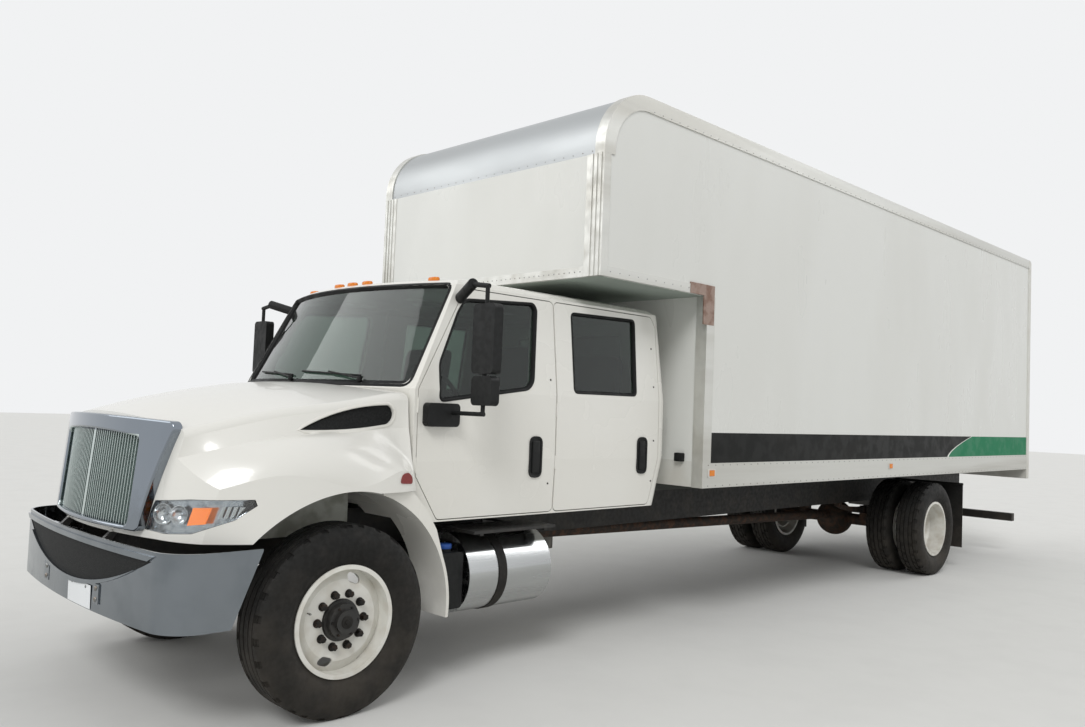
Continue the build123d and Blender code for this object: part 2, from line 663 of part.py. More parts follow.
def hood_form(inset):
    """Solid shape of hood and fenders; inset gives the space inside."""
    rear = HOOD_REAR if inset == 0 else HOOD_REAR + 1
    # Place, fender width, lip and shoulder heights, crease, side wall's top and crown
    rows = [
        (-1010, 820, 1160, 1215, 650, 1290, 750, 1476, 1552),
        (-860, 885, 1195, 1255, 720, 1345, 782, 1500, 1598),
        (-720, 985, 1215, 1290, 850, 1397, 822, 1528, 1642),
        (-450, 1125, 1295, 1400, 950, 1468, 893, 1600, 1706),
        (-150, 1178, 1255, 1445, 978, 1508, 945, 1655, 1762),
        (100, 1182, 1240, 1405, 1003, 1526, 975, 1693, 1790),
        (rear, 1116, 1214, 1300, 1030, 1543, 1020, 1742, 1808),
    ]
    form = loft([hood_section(inset, *row) for row in rows])
    return form & hood_plan(inset)


def nose_y(x, behind=0, z=NOSE_Z):
    """Y on the raked and bowed nose at a distance x from the centre line."""
    return NOSE_Y + behind + NOSE_BOW * (x / NOSE_BOW_X) ** 2 + NOSE_RAKE * (z - NOSE_Z)


def raked(edges):
    """Prism of a plan outline, leaning back with the nose."""
    low = 800
    return Pos(0, NOSE_RAKE * (low - NOSE_Z), low) * extrude(make_face(edges), 1200, dir=(0, NOSE_RAKE, 1))


def hood_plan(inset):
    """Prism of the hood's plan, bowed at the nose and round at the lamps."""
    half = 1200 - inset
    front = nose_y(NOSE_BOW_X, inset)
    rear = HOOD_REAR + 100
    corner = (1040 - inset, NOSE_Y + inset + 285)
    side_y = NOSE_Y + inset + 700
    return raked([
        ThreePointArc((-NOSE_BOW_X, front, 0), (0, NOSE_Y + inset, 0), (NOSE_BOW_X, front, 0)),
        ThreePointArc((NOSE_BOW_X, front, 0), (*corner, 0), (half, side_y, 0)),
        Line((half, side_y, 0), (half, rear, 0)),
        Line((half, rear, 0), (-half, rear, 0)),
        Line((-half, rear, 0), (-half, side_y, 0)),
        ThreePointArc((-half, side_y, 0), (-corner[0], corner[1], 0), (-NOSE_BOW_X, front, 0)),
    ])


def nose_slab(front, back):
    """Bowed and raked slab in front of the nose, between two distances behind it."""
    half = GRILLE_TOP_HALF_W + 60
    return raked([
        ThreePointArc((-half, nose_y(half, front), 0), (0, NOSE_Y + front, 0), (half, nose_y(half, front), 0)),
        Line((half, nose_y(half, front), 0), (half, nose_y(half, back), 0)),
        ThreePointArc((half, nose_y(half, back), 0), (0, NOSE_Y + back, 0), (-half, nose_y(half, back), 0)),
        Line((-half, nose_y(half, back), 0), (-half, nose_y(half, front), 0)),
    ])


def lamp_zone(grow):
    """Prism through the front corner that bounds the headlamp."""
    corner = Plane(origin=(0, 0, 0), x_dir=(0.8, 0.6, 0), z_dir=(0.6, -0.8, 0))
    outline = [(-65, 1000), (15, 1145), (250, 1168), (552, 1176), (562, 1148), (470, 1076), (270, 1004), (100, 990)]
    face = make_face(Polyline([corner.from_local_coords((u, z, 0)) for u, z in outline], close=True))
    face = offset(face, grow, kind=Kind.INTERSECTION) if grow else face
    return extrude(face, 1600, dir=(0.6, -0.8, 0))


def surround_prism(grow):
    """Prism of the grille surround's outline, waisted sides below a low arch."""
    low = (GRILLE_BOTTOM_HALF_W + grow, GRILLE_BOTTOM - grow)
    waist = (GRILLE_WAIST_HALF_W + grow, GRILLE_WAIST_Z)
    high = (GRILLE_TOP_HALF_W + grow, GRILLE_CORNER_Z + grow)
    edges = [
        Line((-low[0], 0, low[1]), (low[0], 0, low[1])),
        ThreePointArc((low[0], 0, low[1]), (waist[0], 0, waist[1]), (high[0], 0, high[1])),
        ThreePointArc((high[0], 0, high[1]), (0, 0, GRILLE_TOP + grow), (-high[0], 0, high[1])),
        ThreePointArc((-high[0], 0, high[1]), (-waist[0], 0, waist[1]), (-low[0], 0, low[1])),
    ]
    face = make_face(edges)
    face = fillet(face.vertices(), 40 + grow)
    return Pos(0, -1300, 0) * extrude(face, 700, dir=(0, 1, 0))


def mesh_prism(grow):
    """Prism of the opening inside the surround."""
    half = MESH_HALF_W + grow
    low = MESH_BOTTOM - grow
    high = MESH_CORNER_Z + grow
    edges = [
        Line((-half, 0, low), (half, 0, low)),
        Line((half, 0, low), (half, 0, high)),
        ThreePointArc((half, 0, high), (0, 0, MESH_TOP + grow), (-half, 0, high)),
        Line((-half, 0, high), (-half, 0, low)),
    ]
    face = make_face(edges)
    face = fillet(face.vertices(), 30 + grow)
    return Pos(0, -1300, 0) * extrude(face, 700, dir=(0, 1, 0))


def grille_parts():
    """Bright surround with its upright bars and the divider in the middle."""
    ring = (surround_prism(0) - mesh_prism(0)) & nose_slab(-GRILLE_T, -GAP)

    def on_front(edge):
        middle = edge.position_at(0.5)
        return abs(middle.Y - nose_y(middle.X, -GRILLE_T, middle.Z)) < 0.6 * GRILLE_ROUND

    grille = fillet(ring.edges().filter_by(on_front), GRILLE_ROUND)
    back = -GRILLE_BAR_T / 4
    low = MESH_BOTTOM - 12
    high = MESH_TOP + 12
    pitch = 2 * MESH_HALF_W / (GRILLE_BARS + 1)
    bars = [((i + 1) * pitch - MESH_HALF_W, GRILLE_BAR_W) for i in range(GRILLE_BARS)]
    for x, wide in [*bars, (0, 3 * GRILLE_BAR_W)]:
        front = back - GRILLE_BAR_T
        grille += across([
            (nose_y(x, front, low), low), (nose_y(x, back, low), low),
            (nose_y(x, back, high), high), (nose_y(x, front, high), high),
        ], x - wide / 2, x + wide / 2)
    return grille


def vent_face():
    """Teardrop outline of the air outlet in the hood's side, pointed at the front."""
    tip = (0, -232, 1523)
    rear_top = (0, 300, 1672)
    rear_low = (0, 285, 1560)
    return make_face([
        ThreePointArc(tip, (0, 0, 1622), rear_top),
        ThreePointArc(rear_top, (0, 338, 1612), rear_low),
        ThreePointArc(rear_low, (0, 70, 1534), tip),
    ])


def hood_parts():
    """Hood shell, grille and headlamps."""
    outer = hood_form(0)
    inner = hood_form(HOOD_T)
    arch = rod_x(-1300, 1300, 0, HUB_HEIGHT, ARCH_R)
    below = block(-1300, 1300, 0, HOOD_REAR + 50, 800, HOOD_SPLIT_Z)
    skin = outer - inner - cab_body(-15, 0, -15)
    seat = surround_prism(GAP)
    lamp = ((outer & lamp_zone(0)) - hood_form(45)) - seat
    lamp = max(lamp.solids(), key=lambda s: s.volume)
    vent = drawn_x(vent_face(), 700, 1300)
    for hole in (lamp_zone(2) - seat, vent):
        skin = skin - hole - mirror(hole, about=Plane.YZ)
    skin = skin - (seat & nose_slab(-GRILLE_T - 100, 0)) - mesh_prism(12) - arch - below
    for side in (1, -1):
        x1 = side * (PIVOT_X - 6)
        x0 = side * (PIVOT_X - 36)
        wall = nose_y(PIVOT_X, HOOD_T, 985)
        arm = across([
            (HOOD_PIVOT_Y - 20, HOOD_PIVOT_Z), (HOOD_PIVOT_Y + 20, HOOD_PIVOT_Z - 12), (wall + 40, 985), (wall - 2, 985),
        ], min(x0, x1), max(x0, x1))
        arm += rod_x(x0, x1, HOOD_PIVOT_Y, HOOD_PIVOT_Z, PIVOT_LUG_R)
        arm -= rod_x(x0 - 5 * side, x1 + 5 * side, HOOD_PIVOT_Y, HOOD_PIVOT_Z, PIVOT_PIN_R + GAP)
        skin += arm
    return skin, grille_parts(), lamp


def front_wheel(side):
    """Front wheel with its hub and brake drum."""
    x = side * FRONT_WHEEL_X
    face = x + side * FRONT_DISH
    wheel = disc_wheel(x, 0, side, FRONT_DISH) + hub(face, side, 96, 70, SPINDLE_R, 0)
    drum = rod_x(face - side * 28, face - side * 28 - side * BRAKE_DRUM_W, 0, HUB_HEIGHT, DRUM_R)
    drum -= rod_x(face - side * 38, face - side * 200, 0, HUB_HEIGHT, DRUM_R - 12)
    drum -= rod_x(face, face - side * 200, 0, HUB_HEIGHT, SPINDLE_R + GAP)
    return wheel + drum


def rear_wheels(side):
    """Both wheels of one dual pair on their common hub and drum."""
    outer = side * (REAR_DUAL_X + DUAL_SPACING / 2)
    inner = side * (REAR_DUAL_X - DUAL_SPACING / 2)
    middle = side * REAR_DUAL_X
    pair = disc_wheel(outer, REAR_AXLE_Y, side, -REAR_DISH + DISC_T)
    pair += disc_wheel(inner, REAR_AXLE_Y, side, REAR_DISH)
    pair += hub(middle, side, 230, 110, REAR_TUBE_R, REAR_AXLE_Y)
    drum = rod_x(middle - side * 28, middle - side * 230, REAR_AXLE_Y, HUB_HEIGHT, DRUM_R)
    drum -= rod_x(middle - side * 40, middle - side * 240, REAR_AXLE_Y, HUB_HEIGHT, DRUM_R - 12)
    drum -= rod_x(middle - side * 20, middle - side * 240, REAR_AXLE_Y, HUB_HEIGHT, REAR_TUBE_R + GAP)
    return pair + drum


def door_mirror(side, clear):
    """Tall mirror over a convex one, held by a stout root above and a box below the window."""
    x = 1340
    y = 735
    post_y = y - 12
    head = block(x - 95, x + 95, y - 33, y + 33, 1875, 2285)
    head = fillet(head.edges().filter_by(Axis.Y), 30)
    low = block(x - 88, x + 88, y - 33, y + 33, 1690, 1862)
    low = fillet(low.edges().filter_by(Axis.Y), 30)
    foot = block(1000, 1100, 515, 755, 1556, 1696)
    foot = fillet(foot.edges().filter_by(Axis.X), 28)
    arms = head + low + foot
    arms += rod((x, post_y, 1850), (x, post_y, 1890), 16)
    arms += rod((x, post_y, 2270), (x, post_y, 2396), 13) + rod((x + 13, post_y, 2388), (1190, 722, 2410), 15)
    arms += rod((1215, 716, 2412), (MIRROR_ROOT_X - 25, 815, 2342), 32)
    arms += rod((x, post_y, 1700), (x, post_y, 1636), 13) + rod((x + 13, post_y, 1640), (1080, 700, 1640), 13)
    arms -= clear
    arms = max(arms.solids(), key=lambda s: s.volume)
    return arms if side > 0 else mirror(arms, about=Plane.YZ)


def steering_axis():
    """Unit vector along the column, from the wheel down to the dashboard."""
    return Vector(0, -cos(radians(COLUMN_TILT)), -sin(radians(COLUMN_TILT)))


def steering_wheel():
    """Rim, three spokes and a hub pad."""
    seat = Plane(origin=(DRIVER_X, WHEEL_Y, WHEEL_Z), x_dir=(1, 0, 0), z_dir=steering_axis())
    wheel = seat * Torus(WHEEL_RIM_R, 15)
    wheel += seat * (Pos(0, 0, 18) * Cylinder(60, 50))
    for turn in (90, 210, 330):
        wheel += seat * (Rot(0, 0, turn) * (Pos(WHEEL_RIM_R / 2 + 20, 0, 8) * Box(WHEEL_RIM_R - 50, 34, 14)))
    return wheel


def dashboard():
    """Dash across the cab and the column up to the steering wheel."""
    profile = [(400, 1380), (400, 1768), (560, 1790), (760, 1775), (850, 1700), (830, 1560), (700, 1400)]
    seat_gap = CAB_WALL + GAP
    dash = across(profile, -955, 955) & cab_loft(seat_gap, CAB_FLOOR_T, CAB_WALL, seat_gap)
    start = Vector(DRIVER_X, WHEEL_Y, WHEEL_Z) + steering_axis() * (43 + GAP)
    end = Vector(DRIVER_X, WHEEL_Y, WHEEL_Z) + steering_axis() * 330
    return dash + rod(tuple(start), tuple(end), 34)


def seat(x, y, half_w):
    """Cushion and back of one seat on its pedestal."""
    base = block(x - half_w + 60, x + half_w - 60, y - 190, y + 200, FLOOR_Z, FLOOR_Z + 260)
    cushion = block(x - half_w, x + half_w, y - 260, y + 240, FLOOR_Z + 260, FLOOR_Z + 400)
    back = across([
        (y + 170, FLOOR_Z + 380), (y + 300, FLOOR_Z + 380), (y + 400, FLOOR_Z + 1020), (y + 290, FLOOR_Z + 1020),
    ], x - half_w, x + half_w)
    return base + cushion + back


def seats():
    """Two front seats and the rear bench."""
    return seat(DRIVER_X, 1390, 250), seat(-DRIVER_X, 1390, 250), seat(0, 2260, 800)


def quarter_fender():
    """White guard behind the front wheel, fixed to the cab."""
    outer = ARCH_R + QUARTER_T
    guard = rod_x(QUARTER_IN_X, QUARTER_OUT_X, 0, HUB_HEIGHT, outer) - rod_x(700, 1300, 0, HUB_HEIGHT, ARCH_R)
    lip = across([(150, 1186), (418, 1186), (520, 1080), (600, 960), (655, 800), (690, 440), (300, 440)], 1072, QUARTER_OUT_X)
    lip -= rod_x(700, 1300, 0, HUB_HEIGHT, ARCH_R)
    keep = across([(215, 1186), (760, 1186), (760, 440), (215, 440)], 700, 1300)
    return (guard + lip) & keep


def cab_step():
    """Tread plate below a door, on two hangers from the rail."""
    step = block(770, 1075, TANK_FRONT, TANK_REAR, 900, 918)
    for y in (TANK_FRONT + 60, TANK_REAR - 90):
        step += block(RAIL_HALF_W, 1060, y, y + 30, 885, 900)
        step += block(RAIL_HALF_W, RAIL_HALF_W + 10, y, y + 30, 800, 900)
    return step


def chassis_boxes():
    """Fluid tank with its cap on the left, battery box on the right."""
    tank = block(560, 1010, 735, 905, 450, 790)
    tank = fillet(tank.edges().filter_by(Axis.X), 25)
    tank += rod((930, 820, 785), (930, 820, 830), 38) + block(RAIL_HALF_W, 570, 780, 860, 780 - 20, 790 - 5)
    box = block(-1050, -500, 960, 1620, 430, 860)
    box = fillet(box.edges().filter_by(Axis.Y), 25)
    box += block(-505, -RAIL_HALF_W, 1060, 1140, 770, 850) + block(-505, -RAIL_HALF_W, 1440, 1520, 770, 850)
    return tank, box


def exhaust():
    """Silencer under the right rail, on straps, with its pipes."""
    can = Pos(-720, 2500, 640) * Rot(90, 0, 0) * Cylinder(150, 900)
    can += rod((-720, 2940, 640), (-720, 3400, 640), 55) + rod((-720, 3390, 660), (-720, 3390, 380), 55)
    for y in (2150, 2820):
        can += block(-720, -RAIL_HALF_W, y, y + 50, 765, 815)
        can += block(-745, -695, y, y + 50, 700, 815)
    return can


def roof_lamp(x, y, clear):
    """Oval marker lamp that sits on the sloping roof."""
    dome = extrude(Ellipse(50, 27), 90)
    dome = fillet(dome.edges().sort_by(Axis.Z)[-1], 10)
    reach = Pos(x, y, CAB_EAVES - 20) * dome
    seated = reach - clear
    top = seated.solids().sort_by(Axis.Z)[-1]
    drop = top.bounding_box().size.Z - ROOF_LAMP_TALL
    return (Pos(0, 0, -drop) * reach) - clear


def lamps(clear):
    """Marker lamps on roof and sides, and the lamps in the tail."""
    found = []
    for x, y in ROOF_LAMPS:
        found.append(roof_lamp(x, y, clear))
    for side in (1, -1):
        for y in (BOX_FRONT + 115, 6300):
            found.append(block(side * BOX_HALF_W, side * (BOX_HALF_W + 10), y - 30, y + 30, 1218, 1262))
        for x in (1120, 990):
            found.append(Pos(side * x, BOX_REAR + 6, 1120) * Rot(90, 0, 0) * Cylinder(50, 12))
    for x in (-160, 0, 160):
        z = BOX_TOP - REAR_LAMP_DROP
        found.append(block(x - 45, x + 45, BOX_REAR, BOX_REAR + 10, z - 15, z + 15))
    return found


def body_floor():
    """Deck on its cross bearers and two long sills."""
    deck_low = FLOOR_TOP - 28
    bearer_low = BOX_BOTTOM
    y0 = BOX_FRONT
    y1 = BOX_REAR - REAR_POST_D
    x = BOX_HALF_W - SKIN_INSET - WALL_T
    floor = block(-x, x, y0, y1, deck_low, FLOOR_TOP)
    floor += block(-x, x, y0, y0 + WALL_T, bearer_low, deck_low)
    count = int((y1 - y0 - 200) // BEARER_STEP)
    for i in range(count + 1):
        y = y0 + 120 + i * BEARER_STEP
        floor += block(-x, x, y, y + BEARER_T, bearer_low, deck_low)
    for side in (1, -1):
        mid = side * (RAIL_HALF_W - RAIL_FLANGE / 2)
        floor += block(mid - SILL_W / 2, mid + SILL_W / 2, y0 + 40, RAIL_REAR, RAIL_TOP, bearer_low)
    return floor


def attic_floor():
    """Floor of the attic over the cab."""
    x = BOX_HALF_W - SKIN_INSET - WALL_T
    return block(-x, x, ATTIC_FRONT + 30, BOX_FRONT, ATTIC_BOTTOM, ATTIC_BOTTOM + ATTIC_FLOOR_T)


def nose_arc(r):
    """Start, middle and end of an arc round the nose's centre, as (y, z) points."""
    cy = ATTIC_FRONT + NOSE_R
    cz = BOX_TOP - NOSE_R
    return (cy - r, cz), (cy - r * sqrt(0.5), cz + r * sqrt(0.5)), (cy, cz + r)


def bent(points_before, arc, points_after, x0, x1):
    """Outline of points, one arc and more points in YZ, drawn from x0 to x1."""
    start, mid, end = arc
    chain = [*points_before, start]
    edges = [Line((x0, *a), (x0, *b)) for a, b in zip(chain, chain[1:])]
    edges.append(ThreePointArc((x0, *start), (x0, *mid), (x0, *end)))
    chain = [end, *points_after, points_before[0] if points_before else start]
    edges += [Line((x0, *a), (x0, *b)) for a, b in zip(chain, chain[1:])]
    return extrude(make_face(edges), x1 - x0, dir=(1, 0, 0))


def body_side():
    """Left side panel, cut away under the attic and round at the nose."""
    post = ATTIC_FRONT + CORNER_POST_D
    inner = NOSE_R - TOP_RAIL_H
    arc = nose_arc(inner)
    before = [(post, ATTIC_BOTTOM), (post, SEAM_Z), (arc[0][0], SEAM_Z)]
    end_y = BOX_REAR - REAR_POST_D
    after = [(end_y, BOX_TOP - TOP_RAIL_H), (end_y, BOX_BOTTOM), (BOX_FRONT, BOX_BOTTOM), (BOX_FRONT, ATTIC_BOTTOM)]
    x1 = BOX_HALF_W - SKIN_INSET
    return bent(before, arc, after, x1 - WALL_T, x1)


def front_panels():
    """White panel of the attic's front and the bulkhead behind the cab."""
    half = BOX_HALF_W - CORNER_POST_W
    attic = block(-half, half, ATTIC_FRONT + 5, ATTIC_FRONT + 30, ATTIC_BOTTOM, SEAM_Z)
    x = BOX_HALF_W - SKIN_INSET - WALL_T
    wall = block(-x, x, BOX_FRONT, BOX_FRONT + WALL_T, FLOOR_TOP, ATTIC_BOTTOM)
    return attic, wall


def nose_cap():
    """Bare aluminium sheet bent from the attic's front up to the roof."""
    outer = nose_arc(NOSE_R - 8)
    inner = nose_arc(NOSE_R - 8 - ROOF_T)
    x = BOX_HALF_W - CAP_INSET
    edges = [
        Line((-x, outer[0][0], SEAM_Z), (-x, *outer[0])),
        ThreePointArc(*[(-x, *q) for q in outer]),
        Line((-x, *outer[2]), (-x, *inner[2])),
        ThreePointArc(*[(-x, *q) for q in reversed(inner)]),
        Line((-x, *inner[0]), (-x, inner[0][0], SEAM_Z)),
        Line((-x, inner[0][0], SEAM_Z), (-x, outer[0][0], SEAM_Z)),
    ]
    return extrude(make_face(edges), 2 * x, dir=(1, 0, 0))


def body_roof():
    """Roof sheet between the top rails."""
    x = BOX_HALF_W - CAP_INSET
    start = ATTIC_FRONT + NOSE_R
    return block(-x, x, start, BOX_REAR - REAR_POST_D, BOX_TOP - 8 - ROOF_T, BOX_TOP - 8)


def body_rails():
    """Top rails, nose castings, corner posts and angles, rub rails and hems."""
    x1 = BOX_HALF_W
    x0 = BOX_HALF_W - CAP_INSET
    end_y = BOX_REAR - REAR_POST_D
    outer = nose_arc(NOSE_R)
    inner = nose_arc(NOSE_R - TOP_RAIL_H)
    rail_y = outer[2][0] + GAP
    rail = block(x0, x1, rail_y, end_y, BOX_TOP - TOP_RAIL_H, BOX_TOP)
    edges = [
        Line((x0, outer[0][0], SEAM_Z), (x0, *outer[0])),
        ThreePointArc(*[(x0, *q) for q in outer]),
        Line((x0, *outer[2]), (x0, *inner[2])),
        ThreePointArc(*[(x0, *q) for q in reversed(inner)]),
        Line((x0, *inner[0]), (x0, inner[0][0], SEAM_Z)),
        Line((x0, inner[0][0], SEAM_Z), (x0, outer[0][0], SEAM_Z)),
    ]
    casting = extrude(make_face(edges), CAP_INSET, dir=(1, 0, 0))
    post_top = SEAM_Z - GAP
    post = block(x1 - CORNER_POST_W, x1, ATTIC_FRONT, ATTIC_FRONT + CORNER_POST_D, ATTIC_BOTTOM, post_top)
    post -= block(
        x1 - CORNER_POST_W - 1, x1 - WALL_T, ATTIC_FRONT + 30, ATTIC_FRONT + 200, ATTIC_BOTTOM - 1, post_top + 1,
    )
    for i in range(POST_FLUTES):
        rib_x = x1 - 30 - i * 40
        post += block(rib_x - 8, rib_x + 8, ATTIC_FRONT - 6, ATTIC_FRONT, ATTIC_BOTTOM, post_top)
    rub = block(x1 - SKIN_INSET, x1, BOX_FRONT + GAP, end_y, BOX_BOTTOM, RUB_RAIL_TOP)
    front_leg = block(x1 - ANGLE_LEG, x1, BOX_FRONT - ANGLE_T, BOX_FRONT, BOX_BOTTOM, ATTIC_BOTTOM - GAP)
    side_leg = block(x1 - SKIN_INSET, x1, BOX_FRONT, BOX_FRONT + ANGLE_LEG, RUB_RAIL_TOP + GAP, ATTIC_BOTTOM - GAP)
    hem_top = ATTIC_BOTTOM + ATTIC_FLOOR_T
    hem = block(x1 - SKIN_INSET, x1, ATTIC_FRONT + CORNER_POST_D + GAP, BOX_FRONT, ATTIC_BOTTOM, hem_top)
    half = x1 - CORNER_POST_W - GAP
    strip = block(-half, half, ATTIC_FRONT, ATTIC_FRONT + 5, ATTIC_BOTTOM, hem_top)
    sides = [rail, casting, post, rub, front_leg + side_leg, hem]
    return [piece for side in sides for piece in both(side)] + [strip]


def rear_frame():
    """Steel door frame at the tail: posts, header and sill."""
    y0 = BOX_REAR - REAR_POST_D + GAP
    x = BOX_HALF_W
    frame = block(-x, x, y0, BOX_REAR, REAR_SILL_BOTTOM, BOX_TOP)
    top = frame.edges().filter_by(Axis.X).sort_by(lambda e: e.center().Z + e.center().Y * 0.001)[-1]
    frame = fillet(top, 60)
    door = x - REAR_POST_W
    return frame - block(-door, door, y0 - 1, BOX_REAR + 1, FLOOR_TOP, BOX_TOP - REAR_HEADER_H)


def roll_up_door():
    """Closed roll-up door of equal panels, with its latch handle."""
    half = BOX_HALF_W - REAR_POST_W
    y0 = BOX_REAR - 75
    low = FLOOR_TOP
    high = BOX_TOP - REAR_HEADER_H
    door = block(-half, half, y0, y0 + 28, low, high)
    step = (high - low) / DOOR_PANELS
    for i in range(1, DOOR_PANELS):
        z = low + i * step
        door -= block(-half - 1, half + 1, y0 + 20, y0 + 30, z - 4, z + 4)
    return door + block(-60, 60, y0 + 28, y0 + 50, low + 90, low + 190)


def mud_flap():
    """Rubber flap behind the left rear wheels on its bar."""
    y = REAR_AXLE_Y + 720
    x = BOX_HALF_W - FLAP_INSET
    bar = rod_x(RAIL_HALF_W, x, y + 5, 985, 16)
    return bar + block(770, x, y, y + 10, 250, 985)


if __name__ == "__main__":
    os.makedirs("parts", exist_ok=True)
    save("frame_rails", frame_rails())
    save("front_bumper", bumper())
    save("front_axle", front_axle())
    save("rear_axle", rear_axle())
    save("engine_and_radiator", *engine())
    save("fuel_tank", tanks())
    shell, sides, glass = cab_parts()
    clear = cab_loft(-GAP, 0, -GAP, -GAP)
    save("cab_shell", shell)
    save("cab_glass", glass)
    for name, (leaf, pane) in sides.items():
        save(f"door_{name}_left", leaf)
        save(f"door_{name}_right", mirror(leaf, about=Plane.YZ))
        save(f"door_glass_{name}_left", pane)
        save(f"door_glass_{name}_right", mirror(pane, about=Plane.YZ))
    skin, grille, lamp = hood_parts()
    save("hood", skin)
    save("grille", grille)
    save("headlamps", *both(lamp))
    for side, word in ((1, "left"), (-1, "right")):
        x = side * FRONT_WHEEL_X
        save(f"knuckle_{word}", knuckle(side))
        save(f"tyre_front_{word}", tyre(x, 0))
        save(f"wheel_front_{word}", front_wheel(side))
        outer = side * (REAR_DUAL_X + DUAL_SPACING / 2)
        inner = side * (REAR_DUAL_X - DUAL_SPACING / 2)
        save(f"tyres_rear_{word}", tyre(outer, REAR_AXLE_Y), tyre(inner, REAR_AXLE_Y))
        save(f"wheels_rear_{word}", rear_wheels(side))
        save(f"mirror_{word}", door_mirror(side, clear))
    save("steering_wheel", steering_wheel())
    save("dashboard", dashboard())
    save("seats", *seats())
    save("quarter_fenders", *both(quarter_fender()))
    save("cab_steps", *both(cab_step()))
    save("chassis_boxes", *chassis_boxes())
    save("exhaust", exhaust())
    save("lamps", *lamps(clear))
    save("body_floors", body_floor(), attic_floor())
    save("body_sides", *both(body_side()))
    save("body_front_panels", *front_panels())
    save("body_roof", body_roof())
    save("nose_cap", nose_cap())
    save("body_rails", *body_rails())
    save("rear_frame", rear_frame())
    save("roll_up_door", roll_up_door())
    save("mud_flaps", *both(mud_flap()))
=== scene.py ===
"""Dresses the crew-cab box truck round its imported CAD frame.

Lengths are metres, Z is up, the front looks towards -Y and the truck's left
towards +X. Places along the truck are given from the front axle, as on a
builder's drawing, and place() turns them into the frame of the CAD.
"""
import logging
import math
from dataclasses import dataclass, replace
from enum import Enum
from typing import Callable, Optional, Sequence, Union

import bmesh
import bpy
from mathutils import Matrix, Vector
from mathutils.bvhtree import BVHTree


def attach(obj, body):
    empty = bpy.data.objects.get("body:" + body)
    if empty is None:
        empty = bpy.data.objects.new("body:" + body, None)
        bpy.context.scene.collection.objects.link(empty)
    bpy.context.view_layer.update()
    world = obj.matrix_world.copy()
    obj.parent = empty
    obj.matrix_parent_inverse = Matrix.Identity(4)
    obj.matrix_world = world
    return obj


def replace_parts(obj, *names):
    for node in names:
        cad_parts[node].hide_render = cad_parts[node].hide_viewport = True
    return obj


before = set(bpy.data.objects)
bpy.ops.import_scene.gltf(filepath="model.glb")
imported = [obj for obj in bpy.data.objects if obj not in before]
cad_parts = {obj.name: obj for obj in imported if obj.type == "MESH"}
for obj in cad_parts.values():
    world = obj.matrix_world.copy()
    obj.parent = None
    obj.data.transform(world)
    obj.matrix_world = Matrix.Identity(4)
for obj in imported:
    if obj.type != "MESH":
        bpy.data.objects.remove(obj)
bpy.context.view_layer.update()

LOG = logging.getLogger("box_truck")

FRONT_AXLE_Y = -4.755
REAR_AXLE = 7.620
HUB_HEIGHT = 0.512
BOX_SKIN_X = 1.262
MM = 0.001

Tree = bpy.types.NodeTree
Socket = bpy.types.NodeSocket
Point2 = tuple[float, float]
Point3 = Sequence[float]
Feed = Union[float, tuple, Socket]
Seating = Callable[[Point2, float, float], Vector]


def place(x: float, y: float, z: float) -> Vector:
    """Gives the frame's point for a place measured from the front axle.

    Args:
        x: Distance to the truck's left of its centre line.
        y: Distance behind the front axle.
        z: Height above the ground.

    Returns:
        The same point in the frame of the CAD.
    """
    return Vector((x, y + FRONT_AXLE_Y, z))


class Side(Enum):
    """The two sides of the truck, with the sign of their X."""

    LEFT = 1
    RIGHT = -1

    @property
    def word(self) -> str:
        """The side's name, as the CAD nodes write it."""
        return self.name.lower()


# Finishes


def node(tree: Tree, kind: str, feeds: Optional[dict] = None, **settings) -> bpy.types.Node:
    """Adds one shader node with its settings and what feeds its sockets.

    Args:
        tree: The node tree that takes the node.
        kind: The node's type.
        feeds: Socket name or index to a value or to the socket that feeds it.
        settings: The node's own settings.

    Returns:
        The new node.
    """
    made = tree.nodes.new(kind)
    for key, value in settings.items():
        setattr(made, key, value)
    for key, value in (feeds or {}).items():
        if isinstance(value, Socket):
            tree.links.new(value, made.inputs[key])
        else:
            made.inputs[key].default_value = value
    return made


def linear(code: str) -> tuple[float, float, float, float]:
    """Turns an sRGB hex code into the linear colour that Blender mixes.

    Args:
        code: Six hex digits, with or without a leading #.

    Returns:
        Linear red, green, blue and a full alpha.
    """
    digits = code.lstrip("#")
    parts = [int(digits[i : i + 2], 16) / 255 for i in (0, 2, 4)]
    red, green, blue = (c / 12.92 if c <= 0.04045 else ((c + 0.055) / 1.055) ** 2.4 for c in parts)
    return red, green, blue, 1.0


